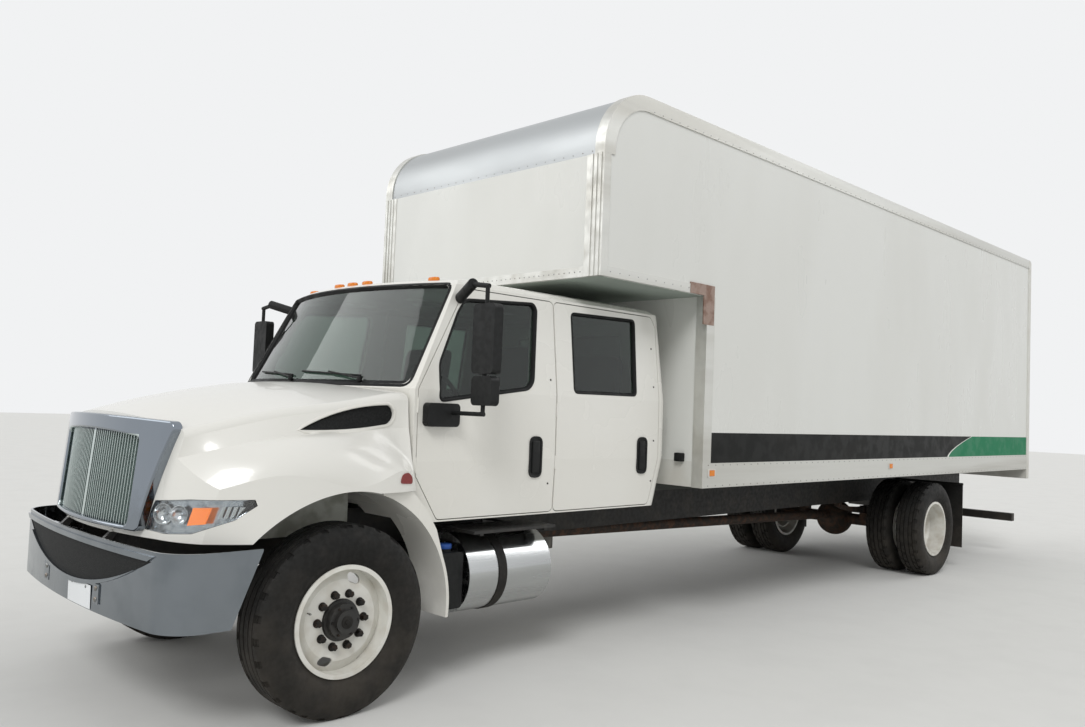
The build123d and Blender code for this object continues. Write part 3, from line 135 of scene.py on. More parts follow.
@dataclass(frozen=True)
class Finish:
    """One real material: its colour, how its surface was made, and its wear.

    The grain is the fine relief of the surface, the patches are slow changes
    of tone, and dust is road film that thickens towards the ground.
    """

    name: str
    colour: str
    roughness: float
    metallic: float = 0.0
    second: str = ""
    patch_mm: float = 500.0
    patch: float = 0.35
    # Size and depth of the grain in mm
    grain: Point2 = (3.0, 0.05)
    stretch: tuple[float, float, float] = (1.0, 1.0, 1.0)
    rough_spread: float = 0.08
    # Share of dust at the ground, and the height where it ends
    dust: Point2 = (0.0, 1.0)
    dust_colour: str = "#6F675C"
    coat: float = 0.0
    # Noise values between which a patch fades in, the roughness changes and the dust thickens
    patch_fade: Point2 = (0.42, 0.68)
    rough_fade: Point2 = (0.35, 0.65)
    dust_fade: Point2 = (0.3, 0.7)
    # Size of a roughness patch as a share of a colour patch
    rough_share: float = 0.3
    dust_foot: float = 0.1
    dust_lump_mm: float = 140.0
    dust_least: float = 0.35
    dust_roughness: float = 0.9
    shader: tuple[tuple[str, Feed], ...] = ()

    def field(self, tree: Tree, size_mm: float, detail: float = 3.0) -> Socket:
        """Adds noise of a real size on the object's own coordinates.

        Args:
            tree: The material's node tree.
            size_mm: Size of one lump of the noise.
            detail: How many finer layers lie on it.

        Returns:
            The noise value's socket.
        """
        where = node(tree, "ShaderNodeTexCoord").outputs["Object"]
        spread = node(tree, "ShaderNodeMapping", {"Vector": where, "Scale": self.stretch})
        feeds = {"Vector": spread.outputs[0], "Scale": 1 / (size_mm * MM), "Detail": detail}
        return node(tree, "ShaderNodeTexNoise", feeds).outputs[0]

    def mixed(self, tree: Tree, share: Feed, first: Feed, second: Feed) -> Socket:
        """Mixes two colours.

        Args:
            tree: The material's node tree.
            share: How much of the second colour shows.
            first: The first colour.
            second: The second colour.

        Returns:
            The mixed colour's socket.
        """
        return node(tree, "ShaderNodeMix", {0: share, 6: first, 7: second}, data_type="RGBA").outputs[2]

    def ranged(
        self, tree: Tree, value: Feed, low: float, high: float, start: float, end: float
    ) -> Socket:
        """Maps a value from low..high onto start..end, held at both ends."""
        feeds = {"Value": value, "From Min": low, "From Max": high, "To Min": start, "To Max": end}
        return node(tree, "ShaderNodeMapRange", feeds, clamp=True, interpolation_type="SMOOTHSTEP").outputs[0]

    def times(self, tree: Tree, first: Feed, second: Feed) -> Socket:
        """Multiplies two values."""
        return node(tree, "ShaderNodeMath", {0: first, 1: second}, operation="MULTIPLY").outputs[0]

    def base(self, tree: Tree) -> Feed:
        """Gives the clean surface's colour, with its slow changes of tone.

        Args:
            tree: The material's node tree.

        Returns:
            One colour, or the socket of a mixed one.
        """
        if not self.second:
            return linear(self.colour)
        share = self.ranged(tree, self.field(tree, self.patch_mm), *self.patch_fade, 0.0, self.patch)
        return self.mixed(tree, share, linear(self.colour), linear(self.second))

    def metal(self, tree: Tree) -> Feed:
        """Gives how metallic the surface is, from 0 to 1."""
        return self.metallic

    def matt(self, tree: Tree) -> Feed:
        """Gives the clean surface's roughness.

        Args:
            tree: The material's node tree.

        Returns:
            The roughness value's socket.
        """
        low = max(0.02, self.roughness - self.rough_spread)
        high = min(1.0, self.roughness + self.rough_spread)
        lumps = self.field(tree, self.patch_mm * self.rough_share)
        return self.ranged(tree, lumps, *self.rough_fade, low, high)

    def film(self, tree: Tree) -> Optional[Socket]:
        """Gives the share of road dust at each point, or None where there is none.

        Args:
            tree: The material's node tree.

        Returns:
            The share's socket, or None.
        """
        share, top = self.dust
        if not share:
            return None
        where = node(tree, "ShaderNodeTexCoord").outputs["Object"]
        height = node(tree, "ShaderNodeSeparateXYZ", {0: where}).outputs["Z"]
        low = self.ranged(tree, height, self.dust_foot, top, share, 0.0)
        lumps = self.field(tree, self.dust_lump_mm, 6.0)
        return self.times(tree, low, self.ranged(tree, lumps, *self.dust_fade, self.dust_least, 1.0))

    def relief(self, tree: Tree) -> Socket:
        """Gives the surface's normal with its grain.

        Args:
            tree: The material's node tree.

        Returns:
            The normal's socket.
        """
        size, deep = self.grain
        feeds = {"Height": self.field(tree, size, 2.0), "Distance": deep * MM, "Strength": 1.0}
        return node(tree, "ShaderNodeBump", feeds).outputs[0]

    def material(self) -> bpy.types.Material:
        """Builds the material once and gives the same one after that.

        Returns:
            The material.
        """
        known = bpy.data.materials.get(self.name)
        if known:
            return known
        made = bpy.data.materials.new(self.name)
        made.use_nodes = True
        tree = made.node_tree
        tree.nodes.clear()
        colour, rough = self.base(tree), self.matt(tree)
        film = self.film(tree)
        if film:
            colour = self.mixed(tree, film, colour, linear(self.dust_colour))
            mix = {0: film, 2: rough, 3: self.dust_roughness}
            rough = node(tree, "ShaderNodeMix", mix, data_type="FLOAT").outputs[0]
        feeds = {
            "Base Color": colour, "Roughness": rough, "Metallic": self.metal(tree),
            "Normal": self.relief(tree), "Coat Weight": self.coat,
        }
        feeds.update(self.shader)
        shader = node(tree, "ShaderNodeBsdfPrincipled", feeds)
        node(tree, "ShaderNodeOutputMaterial", {"Surface": shader.outputs[0]})
        return made


@dataclass(frozen=True)
class BandedFinish(Finish):
    """A finish that turns into a second one past a place on one axis."""

    axis: str = "X"
    edge: float = 0.0
    blur: float = 0.004
    folded: bool = True
    other_colour: str = "#808080"
    other_metallic: float = 0.0
    other_roughness: float = 0.5

    def past(self, tree: Tree) -> Socket:
        """Gives 1 past the edge and 0 before it.

        Args:
            tree: The material's node tree.

        Returns:
            The share's socket.
        """
        where = node(tree, "ShaderNodeTexCoord").outputs["Object"]
        along = node(tree, "ShaderNodeSeparateXYZ", {0: where}).outputs[self.axis]
        if self.folded:
            along = node(tree, "ShaderNodeMath", {0: along}, operation="ABSOLUTE").outputs[0]
        return self.ranged(tree, along, self.edge - self.blur, self.edge + self.blur, 0.0, 1.0)

    def base(self, tree: Tree) -> Feed:
        """Gives the colour of whichever finish lies there."""
        return self.mixed(tree, self.past(tree), super().base(tree), linear(self.other_colour))

    def metal(self, tree: Tree) -> Feed:
        """Gives how metallic whichever finish lies there is."""
        return self.ranged(tree, self.past(tree), 0.0, 1.0, self.metallic, self.other_metallic)

    def matt(self, tree: Tree) -> Feed:
        """Gives the roughness of whichever finish lies there."""
        feeds = {0: self.past(tree), 2: super().matt(tree), 3: self.other_roughness}
        return node(tree, "ShaderNodeMix", feeds, data_type="FLOAT").outputs[0]


@dataclass(frozen=True)
class HubbedFinish(BandedFinish):
    """A wheel's finish on its disc and rim, with another on the hub in its middle."""

    centre_y: float = 0.0

    def past(self, tree: Tree) -> Socket:
        """Gives 1 within the edge's radius of the wheel's axis and 0 outside it.

        Args:
            tree: The material's node tree.

        Returns:
            The share's socket.
        """
        where = node(tree, "ShaderNodeTexCoord").outputs["Object"]
        middle = (0.0, self.centre_y, HUB_HEIGHT)
        arm = node(tree, "ShaderNodeVectorMath", {0: where, 1: middle}, operation="SUBTRACT").outputs[0]
        feeds = {0: arm, 1: (0.0, 1.0, 1.0)}
        flat = node(tree, "ShaderNodeVectorMath", feeds, operation="MULTIPLY").outputs[0]
        radius = node(tree, "ShaderNodeVectorMath", {0: flat}, operation="LENGTH").outputs["Value"]
        return self.ranged(tree, radius, self.edge - self.blur, self.edge + self.blur, 1.0, 0.0)


@dataclass(frozen=True)
class GrilleFinish(Finish):
    """Chrome plate on the surround, with satin bars inside its opening."""

    half: float = 0.526
    low: float = 1.010
    high: float = 1.474
    blur: float = 0.001
    bar_colour: str = "#C6D0CE"
    bar_roughness: float = 0.32

    def inside(self, tree: Tree) -> Socket:
        """Gives 1 inside the opening and 0 on the surround.

        Args:
            tree: The material's node tree.

        Returns:
            The share's socket.
        """
        where = node(tree, "ShaderNodeTexCoord").outputs["Object"]
        split = node(tree, "ShaderNodeSeparateXYZ", {0: where})
        across = node(tree, "ShaderNodeMath", {0: split.outputs["X"]}, operation="ABSOLUTE").outputs[0]
        up = split.outputs["Z"]
        found: Feed = 1.0
        for value, edge, start in ((across, self.half, 1.0), (up, self.high, 1.0), (up, self.low, 0.0)):
            share = self.ranged(tree, value, edge - self.blur, edge + self.blur, start, 1.0 - start)
            found = self.times(tree, found, share)
        return found

    def base(self, tree: Tree) -> Feed:
        """Gives the plate's or the bars' colour."""
        return self.mixed(tree, self.inside(tree), super().base(tree), linear(self.bar_colour))

    def matt(self, tree: Tree) -> Feed:
        """Gives the plate's or the bars' roughness."""
        feeds = {0: self.inside(tree), 2: super().matt(tree), 3: self.bar_roughness}
        return node(tree, "ShaderNodeMix", feeds, data_type="FLOAT").outputs[0]


# Sprayed two-pack enamel on the cab: an even gloss with a faint orange peel
CAB_ENAMEL = Finish(
    "white_cab_enamel", "#E6E5DF", 0.26, second="#E0DED6", patch_mm=1600, patch=0.6, grain=(7, 0.015),
    rough_spread=0.02, dust=(0.3, 1.1), coat=0.4,
)
# The same enamel on the hood, over the black primer of the pivot arms below it
HOOD_ENAMEL = BandedFinish(
    "white_enamel_over_primer", "#1B1B1A", 0.5, second="#2B2825", patch_mm=300, grain=(7, 0.015),
    rough_spread=0.02, dust=(0.3, 1.15), coat=0.3, axis="Z", edge=0.956, blur=0.001, folded=False,
    other_colour="#E4E3DD", other_roughness=0.26,
)
# Prepainted sheet on the load box: flatter than the cab, with faint long waves
BOX_PANEL = Finish(
    "white_prepainted_sheet", "#DEDFDB", 0.34, second="#D2D2CC", patch_mm=1300, grain=(420, 1.1),
    stretch=(1.0, 1.0, 0.35), dust=(0.3, 1.5),
)
# Mill-finish aluminium sheet with rolling lines along it
MILL_SHEET = Finish(
    "mill_aluminium_sheet", "#B2B5B6", 0.42, metallic=0.9, second="#A4A7A7", patch_mm=900, patch=0.4,
    grain=(14, 0.05), stretch=(0.3, 1.0, 1.0), rough_spread=0.04,
)
# Extruded aluminium rails and posts, dulled by weather
EXTRUSION = Finish(
    "extruded_aluminium", "#D3D3CE", 0.42, metallic=0.75, second="#AEABA2", patch_mm=260, patch=0.5,
    grain=(5, 0.05), stretch=(1.0, 0.05, 1.0), dust=(0.25, 1.6), rough_spread=0.12,
)
# Bent steel plate under the attic, browned by rust
RUSTED_PLATE = Finish(
    "rust_browned_plate", "#9A857A", 0.6, metallic=0.3, second="#7A5B4B", patch_mm=70, patch=0.8,
    grain=(4, 0.25),
)
# Cast aluminium on the engine, grey with oxide
CASTING = Finish(
    "cast_aluminium", "#8E8C84", 0.55, metallic=0.75, second="#6E6B62", patch_mm=90, patch=0.7,
    grain=(4, 0.25),
)
# Chrome plate round satin bars; the plate's colour is darkened below real chrome as a painted dark reflection
GRILLE_CHROME_PAINTED_DARK = GrilleFinish(
    "chrome_plate", "#8A9199", 0.08, metallic=1.0, second="#868D95", patch_mm=160, patch=0.4,
    grain=(60, 0.05), rough_spread=0.05, dust=(0.35, 0.85),
)
# The bumper's plate is hazier than the grille's, and its colour darker still as a painted dark reflection
BUMPER_CHROME_PAINTED_DARK = Finish(
    "hazed_chrome_painted_dark", "#858B91", 0.11, metallic=1.0, second="#6E757B", patch_mm=240, patch=0.5,
    grain=(120, 0.04), rough_spread=0.05, dust=(0.3, 0.9), dust_colour="#5F6460",
)
# Ten-bolt disc wheels in white powder coat, dusty in the dish, on black hubs
WHEEL_WHITE = HubbedFinish(
    "white_powder_coat_front", "#E2E1DA", 0.36, second="#BDB4A3", patch_mm=90, patch=0.3, grain=(3, 0.05),
    dust=(0.22, 0.95), edge=0.1135, blur=0.002, other_colour="#1A1B1B", other_roughness=0.45,
    centre_y=FRONT_AXLE_Y,
)
REAR_WHEEL_WHITE = replace(
    WHEEL_WHITE, name="white_powder_coat_rear", patch=0.5, dust=(0.35, 0.95),
    centre_y=REAR_AXLE + FRONT_AXLE_Y,
)
# Chassis enamel under a film of road dirt
CHASSIS_BLACK = Finish(
    "black_chassis_enamel", "#1A1A19", 0.55, second="#2E2A26", patch_mm=120, patch=0.7, grain=(6, 0.15),
    dust=(0.4, 1.1), dust_colour="#514A41", shader=(("Specular IOR Level", 0.3),),
)
# Forged and cast running gear with surface rust
RUSTY_STEEL = Finish(
    "rusty_forged_steel", "#3A322C", 0.75, metallic=0.4, second="#5E4232", patch_mm=60, patch=0.8,
    grain=(3, 0.3), dust=(0.4, 0.9), dust_colour="#5A5248",
)
ENGINE_GREY = Finish("cast_iron_grey", "#4B4D4E", 0.6, metallic=0.3, second="#38342F", grain=(4, 0.3))
# Polished fuel tank aluminium, hazed by road film
TANK_ALUMINIUM = Finish(
    "polished_tank_aluminium", "#C4C6C6", 0.2, metallic=1.0, second="#9EA0A0", patch_mm=180, patch=0.5,
    grain=(2, 0.02), stretch=(1.0, 0.04, 1.0), dust=(0.35, 0.8), rough_spread=0.1,
)
ALUMINISED = Finish(
    "aluminised_steel", "#7F7D78", 0.45, metallic=0.9, second="#6B5140", patch_mm=110, dust=(0.3, 1.0),
)
# Cab steps coloured near black as painted shade, the shade that lies under the cab; the patches and dust are
# wear
STEPS_IN_PAINTED_SHADE = Finish(
    "steps_painted_shade_black", "#1F1F1E", 0.55, second="#3A3631", patch_mm=80, dust=(0.4, 1.0),
)
# Moulded black plastic with a fine spark-eroded grain
BLACK_PLASTIC = Finish(
    "moulded_black_plastic", "#151616", 0.55, second="#1E1F1F", patch_mm=120, grain=(1.2, 0.06),
    shader=(("Specular IOR Level", 0.25),),
)
RUBBER = Finish(
    "black_rubber", "#161615", 0.72, second="#252321", patch_mm=90, patch=0.6, grain=(2, 0.1),
    dust=(0.4, 1.0), dust_colour="#524C44", shader=(("Specular IOR Level", 0.25),),
)
SEAL_RUBBER = Finish(
    "glazing_rubber", "#101111", 0.6, second="#191919", grain=(2, 0.04),
    shader=(("Specular IOR Level", 0.25),),
)
# Tempered glass with a green tint, dark from outside
TINTED_GLASS = Finish(
    "green_tinted_glass", "#7E8F86", 0.02, second="#72837B", patch=0.2, grain=(300, 0.05),
    rough_spread=0.01, shader=(("Transmission Weight", 1.0), ("IOR", 1.5)),
)
CLEAR_LENS = Finish(
    "clear_polycarbonate", "#F1F4F4", 0.04, grain=(40, 0.03), rough_spread=0.02,
    shader=(("Transmission Weight", 1.0), ("IOR", 1.58)),
)
AMBER_LENS = Finish(
    "amber_polycarbonate", "#E07A12", 0.14, second="#F09A2A", patch_mm=12, grain=(5, 0.2),
    rough_spread=0.04, shader=(("Transmission Weight", 0.35), ("IOR", 1.58)),
)
# The turn lamp's lens, lit by its bulb
LIT_AMBER = replace(
    AMBER_LENS, name="lit_amber_polycarbonate", colour="#EE8E1A", second="#FFB040",
    shader=(*AMBER_LENS.shader, ("Emission Color", linear("#FF9014")), ("Emission Strength", 0.4)),
)
RED_LENS = Finish(
    "red_polycarbonate", "#8E1512", 0.14, second="#B5241C", patch_mm=12, grain=(5, 0.2),
    rough_spread=0.04, shader=(("Transmission Weight", 0.3), ("IOR", 1.58)),
)
# Moulded lamp lenses: amber ahead of the tail, red on it
LAMP_LENSES = BandedFinish(
    "amber_and_red_polycarbonate", "#DE7A14", 0.16, second="#EFA033", patch_mm=12, grain=(5, 0.2),
    axis="Y", edge=5.7, folded=False, other_colour="#8E1512", other_roughness=0.16,
)
REFLECTOR = Finish("vacuum_aluminised_reflector", "#D4D6D8", 0.12, metallic=1.0, grain=(9, 0.1))
# The lamp's bowl: the same bright coat, black towards its rear tip
LAMP_BOWL = BandedFinish(
    "aluminised_lamp_bowl", "#B4B9BE", 0.16, metallic=1.0, second="#7F868D", patch_mm=40, patch=0.8,
    grain=(14, 0.3), axis="Y", edge=-5.322, blur=0.006, folded=False, other_colour="#101112",
    other_roughness=0.25,
)
MIRROR_GLASS = Finish(
    "silvered_glass", "#CDD2D4", 0.03, metallic=1.0, grain=(200, 0.01), rough_spread=0.01,
)
# Expanded sheet behind the bumper's opening and the hood's outlets
BLACK_MESH = Finish(
    "black_expanded_mesh", "#0C0D0D", 0.65, second="#242525", patch_mm=7, patch=0.9, grain=(9, 2.0),
    stretch=(1.0, 1.0, 1.6), shader=(("Specular IOR Level", 0.2),),
)
# Core of the radiator behind the grille, with its fine upright fins; its grey-green is lightened as painted
# light, making up for the shade between the grille's bars
RADIATOR_CORE_PAINTED_LIGHT = Finish(
    "radiator_core_painted_light", "#A7B3AE", 0.55, metallic=0.2, second="#7D8985", patch_mm=9, patch=0.8,
    grain=(6, 0.6), stretch=(1.0, 1.0, 0.05),
)
ZINC = Finish(
    "zinc_plated_steel", "#8D8F8E", 0.38, metallic=1.0, second="#6E5B48", patch_mm=25, patch=0.6,
)
DARK_ZINC = Finish(
    "oxidised_steel", "#262524", 0.5, metallic=0.7, second="#3E2F25", patch_mm=22, patch=0.6,
)
# Printed vinyl film with a satin face that reflects little
VINYL_BLACK = Finish(
    "black_vinyl_film", "#151615", 0.5, second="#1F1E1C", patch_mm=400, grain=(60, 0.05),
    shader=(("Specular IOR Level", 0.15),),
)
VINYL_GREEN = replace(VINYL_BLACK, name="green_vinyl_film", colour="#197650", second="#23805A")
VINYL_WHITE = replace(VINYL_BLACK, name="white_vinyl_film", colour="#E9E9E4", second="#DCDCD6")
PLATE_ENAMEL = Finish(
    "stove_enamelled_plate", "#E3E6E8", 0.34, second="#DADDDF", patch_mm=400, patch=0.3, grain=(60, 0.01),
    rough_spread=0.02,
)
SEAT_CLOTH = Finish(
    "woven_seat_cloth", "#3B3E41", 0.85, second="#2F3235", patch_mm=30, grain=(2.4, 0.35),
    shader=(("Sheen Weight", 0.3),),
)
DASH_PLASTIC = Finish("grained_dash_plastic", "#3A3B3C", 0.62, second="#303132", grain=(1.6, 0.1))
# Undercoated deck below; under the attic a pale grey-green that is painted light, standing in for the light
# on the attic's underside
UNDERSIDE_WITH_PAINTED_LIGHT = BandedFinish(
    "undercoat_and_painted_light", "#3C3F3C", 0.8, second="#2E312E", patch_mm=350, patch=0.7, grain=(9, 0.25),
    stretch=(1.0, 0.2, 1.0), dust=(0.4, 1.4), axis="Z", edge=2.0, folded=False, other_colour="#9AA49C",
    other_roughness=0.7,
)
# Moulded white plastic inside the wheel arches, stained by spray
SPLASH_PLASTIC = Finish(
    "moulded_white_plastic", "#C9CCC4", 0.55, second="#8C8B80", patch_mm=130, patch=0.7, grain=(5, 0.1),
    dust=(0.6, 1.5), dust_colour="#6E6A5E",
)
DOOR_PAINT = Finish(
    "painted_plywood_door", "#D7D8D3", 0.4, second="#C6C6BF", patch_mm=700, grain=(30, 0.15),
    stretch=(0.15, 1.0, 1.0), dust=(0.35, 1.7),
)
FRAME_WHITE = Finish(
    "painted_steel_frame", "#D2D2CC", 0.42, second="#BDB7AB", patch_mm=320, patch=0.35, grain=(8, 0.08),
    dust=(0.5, 1.6),
)
BLUE_CAP = Finish("blue_moulded_cap", "#1F4E9B", 0.4, second="#1A4387", grain=(2, 0.05))

# Finishes of the CAD nodes that each side has one of, and of all nodes that stay in view
SIDE_FINISHES: dict[str, Finish] = {
    "knuckle": RUSTY_STEEL, "door_front": CAB_ENAMEL, "door_rear": CAB_ENAMEL,
    "door_glass_front": TINTED_GLASS, "door_glass_rear": TINTED_GLASS, "mirror": BLACK_PLASTIC,
    "wheel_front": WHEEL_WHITE, "wheels_rear": REAR_WHEEL_WHITE,
}
NODE_FINISHES: dict[str, Finish] = {
    "frame_rails": CHASSIS_BLACK, "front_axle": RUSTY_STEEL, "rear_axle": RUSTY_STEEL,
    "engine_and_radiator": ENGINE_GREY, "fuel_tank": TANK_ALUMINIUM, "chassis_boxes": BLACK_PLASTIC,
    "exhaust": ALUMINISED, "cab_shell": CAB_ENAMEL, "hood": HOOD_ENAMEL, "quarter_fenders": CAB_ENAMEL,
    "cab_glass": TINTED_GLASS, "dashboard": DASH_PLASTIC, "steering_wheel": BLACK_PLASTIC,
    "cab_steps": STEPS_IN_PAINTED_SHADE, "lamps": LAMP_LENSES, "body_floors": UNDERSIDE_WITH_PAINTED_LIGHT, "body_sides": BOX_PANEL,
    "body_front_panels": BOX_PANEL, "body_roof": MILL_SHEET, "nose_cap": MILL_SHEET,
    "body_rails": EXTRUSION, "rear_frame": FRAME_WHITE, "roll_up_door": DOOR_PAINT,
    "mud_flaps": RUBBER, "front_bumper": BUMPER_CHROME_PAINTED_DARK, "grille": GRILLE_CHROME_PAINTED_DARK,
    **{f"{part}_{side.word}": finish for side in Side for part, finish in SIDE_FINISHES.items()},
}


# Shaping


def rectangle(low: Point2, high: Point2) -> list[Point2]:
    """Gives the corners of a rectangle, from its lowest one round."""
    return [low, (high[0], low[1]), high, (low[0], high[1])]


def arc(first: Point2, middle: Point2, last: Point2, steps: int = 12) -> list[Point2]:
    """Gives points on the circle through three points, without the last one.

    Args:
        first: Where the arc starts.
        middle: A point that it passes.
        last: Where it ends.
        steps: How many points it has.

    Returns:
        The arc's points.
    """
    (ax, ay), (bx, by), (cx, cy) = first, middle, last
    d = 2 * (ax * (by - cy) + bx * (cy - ay) + cx * (ay - by))
    a2, b2, c2 = ax**2 + ay**2, bx**2 + by**2, cx**2 + cy**2
    ox = (a2 * (by - cy) + b2 * (cy - ay) + c2 * (ay - by)) / d
    oy = (a2 * (cx - bx) + b2 * (ax - cx) + c2 * (bx - ax)) / d
    angles = [math.atan2(y - oy, x - ox) for x, y in (first, middle, last)]
    turn, half = (angles[2] - angles[0]) % math.tau, (angles[1] - angles[0]) % math.tau
    turn = turn if half < turn else turn - math.tau
    radius = math.hypot(ax - ox, ay - oy)
    places = (angles[0] + turn * k / steps for k in range(steps))
    return [(ox + radius * math.cos(angle), oy + radius * math.sin(angle)) for angle in places]


def rounded(points: Sequence[Point2], radius: float, steps: int = 5) -> list[Point2]:
    """Rounds the corners of a flat outline.

    Args:
        points: The outline's corners in order.
        radius: How far from each corner the rounding starts, at most.
        steps: Points on each rounded corner, less one.

    Returns:
        The outline with its corners rounded.
    """
    found: list[Point2] = []
    count = len(points)
    for i, corner in enumerate(points):
        here = Vector(corner)
        before, after = Vector(points[i - 1]) - here, Vector(points[(i + 1) % count]) - here
        reach = min(radius, before.length * 0.45, after.length * 0.45)
        a, b = here + before.normalized() * reach, here + after.normalized() * reach
        for k in range(steps + 1):
            t = k / steps
            spot = a * (1 - t) ** 2 + here * (2 * t * (1 - t)) + b * t**2
            found.append((spot.x, spot.y))
    return found


def dense(points: Sequence[Point2], step: float) -> list[Point2]:
    """Divides the long edges of a closed outline, so that it can follow a curved skin.

    Args:
        points: The outline in order.
        step: About how long each part of an edge is.

    Returns:
        The outline with more points on its edges.
    """
    found: list[Point2] = []
    for a, b in zip(points, [*points[1:], points[0]]):
        count = max(1, round(math.dist(a, b) / step))
        across, up = b[0] - a[0], b[1] - a[1]
        found += [(a[0] + across * k / count, a[1] + up * k / count) for k in range(count)]
    return found


def grown(points: Sequence[Point2], by: float) -> list[Point2]:
    """Moves a flat outline outwards along its corners' normals.

    Args:
        points: The outline in order, with no repeated point.
        by: How far outwards, or inwards below zero.

    Returns:
        As many points as were given.
    """
    area = sum(a[0] * b[1] - b[0] * a[1] for a, b in zip(points, [*points[1:], points[0]]))
    sign = 1.0 if area > 0 else -1.0
    found = []
    for i, here in enumerate(points):
        ahead = Vector(points[(i + 1) % len(points)]) - Vector(points[i - 1])
        out = Vector((ahead.y, -ahead.x)).normalized() * sign * by
        found.append((here[0] + out.x, here[1] + out.y))
    return found


class Form:
    """A mesh in the making, shaped by bmesh operators."""

    def __init__(self) -> None:
        """Starts with an empty mesh."""
        self.bm = bmesh.new()

    def box(self, low: Point3, high: Point3, bevel: float = 0.0, segments: int = 2) -> "Form":
        """Adds a box with eased edges.

        Args:
            low: Its lowest corner.
            high: Its highest corner.
            bevel: How far its edges are eased.
            segments: Faces on each eased edge.

        Returns:
            This form.
        """
        a, b = Vector(low), Vector(high)
        made = bmesh.ops.create_cube(self.bm, size=1.0)["verts"]
        size = Vector([abs(v) for v in b - a])
        bmesh.ops.scale(self.bm, vec=size, verts=made)
        bmesh.ops.translate(self.bm, vec=(a + b) / 2, verts=made)
        if bevel:
            self._ease([e for v in made for e in v.link_edges], min(bevel, min(size) * 0.49), segments)
        return self

    def crate(self, low: Point3, high: Point3, bevel: float = 0.0, segments: int = 2) -> "Form":
        """Adds a box whose corners are measured from the front axle."""
        return self.box(place(*low), place(*high), bevel, segments)

    def rod(
        self, start: Point3, end: Point3, radius: float, sides: int = 20,
        tip: Optional[float] = None, bevel: float = 0.0,
    ) -> "Form":
        """Adds a round or many-sided bar between two points.

        Args:
            start: Middle of its first end.
            end: Middle of its other end.
            radius: Its radius at the start.
            sides: How many flats it has.
            tip: Its radius at the end, if another.
            bevel: How far the edges of its ends are eased.

        Returns:
            This form.
        """
        a, b = Vector(start), Vector(end)
        tip = radius if tip is None else tip
        made = bmesh.ops.create_cone(
            self.bm, cap_ends=True, cap_tris=False, segments=sides, radius1=radius, radius2=tip,
            depth=(b - a).length,
        )["verts"]
        turn = (b - a).to_track_quat("Z", "Y").to_matrix().to_4x4()
        bmesh.ops.transform(self.bm, matrix=Matrix.Translation((a + b) / 2) @ turn, verts=made)
        if bevel:
            edges = [e for v in made for e in v.link_edges]
            self._ease([e for e in edges if any(len(f.verts) == sides for f in e.link_faces)], bevel, 2)
        return self

    def _ease(self, edges: list, by: float, segments: int) -> None:
        """Bevels some edges, each of them once.

        Args:
            edges: The edges. One may be there twice.
            by: How far they are eased.
            segments: Faces on each eased edge.
        """
        bmesh.ops.bevel(
            self.bm, geom=list(dict.fromkeys(edges)), offset=by, offset_type="OFFSET", segments=segments,
            profile=0.5, affect="EDGES", material=-1, clamp_overlap=True,
        )

    def _loop(self, points: Sequence[Point3]) -> tuple[list, list]:
        """Adds a closed loop and gives its points and its edges."""
        verts = [self.bm.verts.new(p) for p in points]
        return verts, [self.bm.edges.new(pair) for pair in zip(verts, [*verts[1:], verts[0]])]

    def turned(
        self, profile: Sequence[Point2], centre: Point3, axis: Point3 = (1, 0, 0), steps: int = 40
    ) -> "Form":
        """Turns an outline of (offset, radius) points round an axis.

        Args:
            profile: The outline, offsets along the axis.
            centre: Where offset and radius are zero.
            axis: The axis it turns round.
            steps: Faces round the turn.

        Returns:
            This form.
        """
        along = Vector(axis).normalized()
        out = along.orthogonal().normalized()
        middle = Vector(centre)
        verts, edges = self._loop([middle + along * a + out * r for a, r in profile])
        bmesh.ops.spin(
            self.bm, geom=verts + edges, cent=middle, axis=along, angle=math.tau, steps=steps, use_merge=True
        )
        return self

    def slab(self, outline: Sequence[Point3], push: Point3) -> "Form":
        """Adds a plate: a flat outline drawn along a vector.

        Args:
            outline: The corners of one face.
            push: The vector that it is drawn along.

        Returns:
            This form.
        """
        face = self.bm.faces.new([self.bm.verts.new(p) for p in outline])
        self._drawn([face], Vector(push))
        return self

    def hoop(self, outer: Sequence[Point3], inner: Sequence[Point3], push: Point3) -> "Form":
        """Adds a frame between two loops of as many points, drawn along a vector.

        Args:
            outer: Points of the outer loop.
            inner: Points of the inner loop.
            push: The vector that the frame is drawn along.

        Returns:
            This form.
        """
        edges = [*self._loop(outer)[1], *self._loop(inner)[1]]
        faces = bmesh.ops.bridge_loops(self.bm, edges=edges)["faces"]
        self._drawn(faces, Vector(push))
        return self

    def bead(self, ring: Sequence[Point2], section: Sequence[Point2], seat: Seating) -> "Form":
        """Runs a closed section round a closed outline.

        Args:
            ring: The outline's points.
            section: Distances outwards from the outline and off the surface.
            seat: Gives the place of a flat point, for both distances.

        Returns:
            This form.
        """
        loops = [[seat(point, by, off) for point in grown(ring, by)] for by, off in section]
        verts, edges = self._loop(loops[0])
        for loop in [*loops[1:], loops[0]]:
            made = bmesh.ops.extrude_edge_only(self.bm, edges=edges)["geom"]
            fresh = {g for g in made if isinstance(g, bmesh.types.BMVert)}
            verts = [next(e.other_vert(v) for e in v.link_edges if e.other_vert(v) in fresh) for v in verts]
            for vert, spot in zip(verts, loop):
                vert.co = spot
            edges = [g for g in made if isinstance(g, bmesh.types.BMEdge) and fresh.issuperset(g.verts)]
        return self

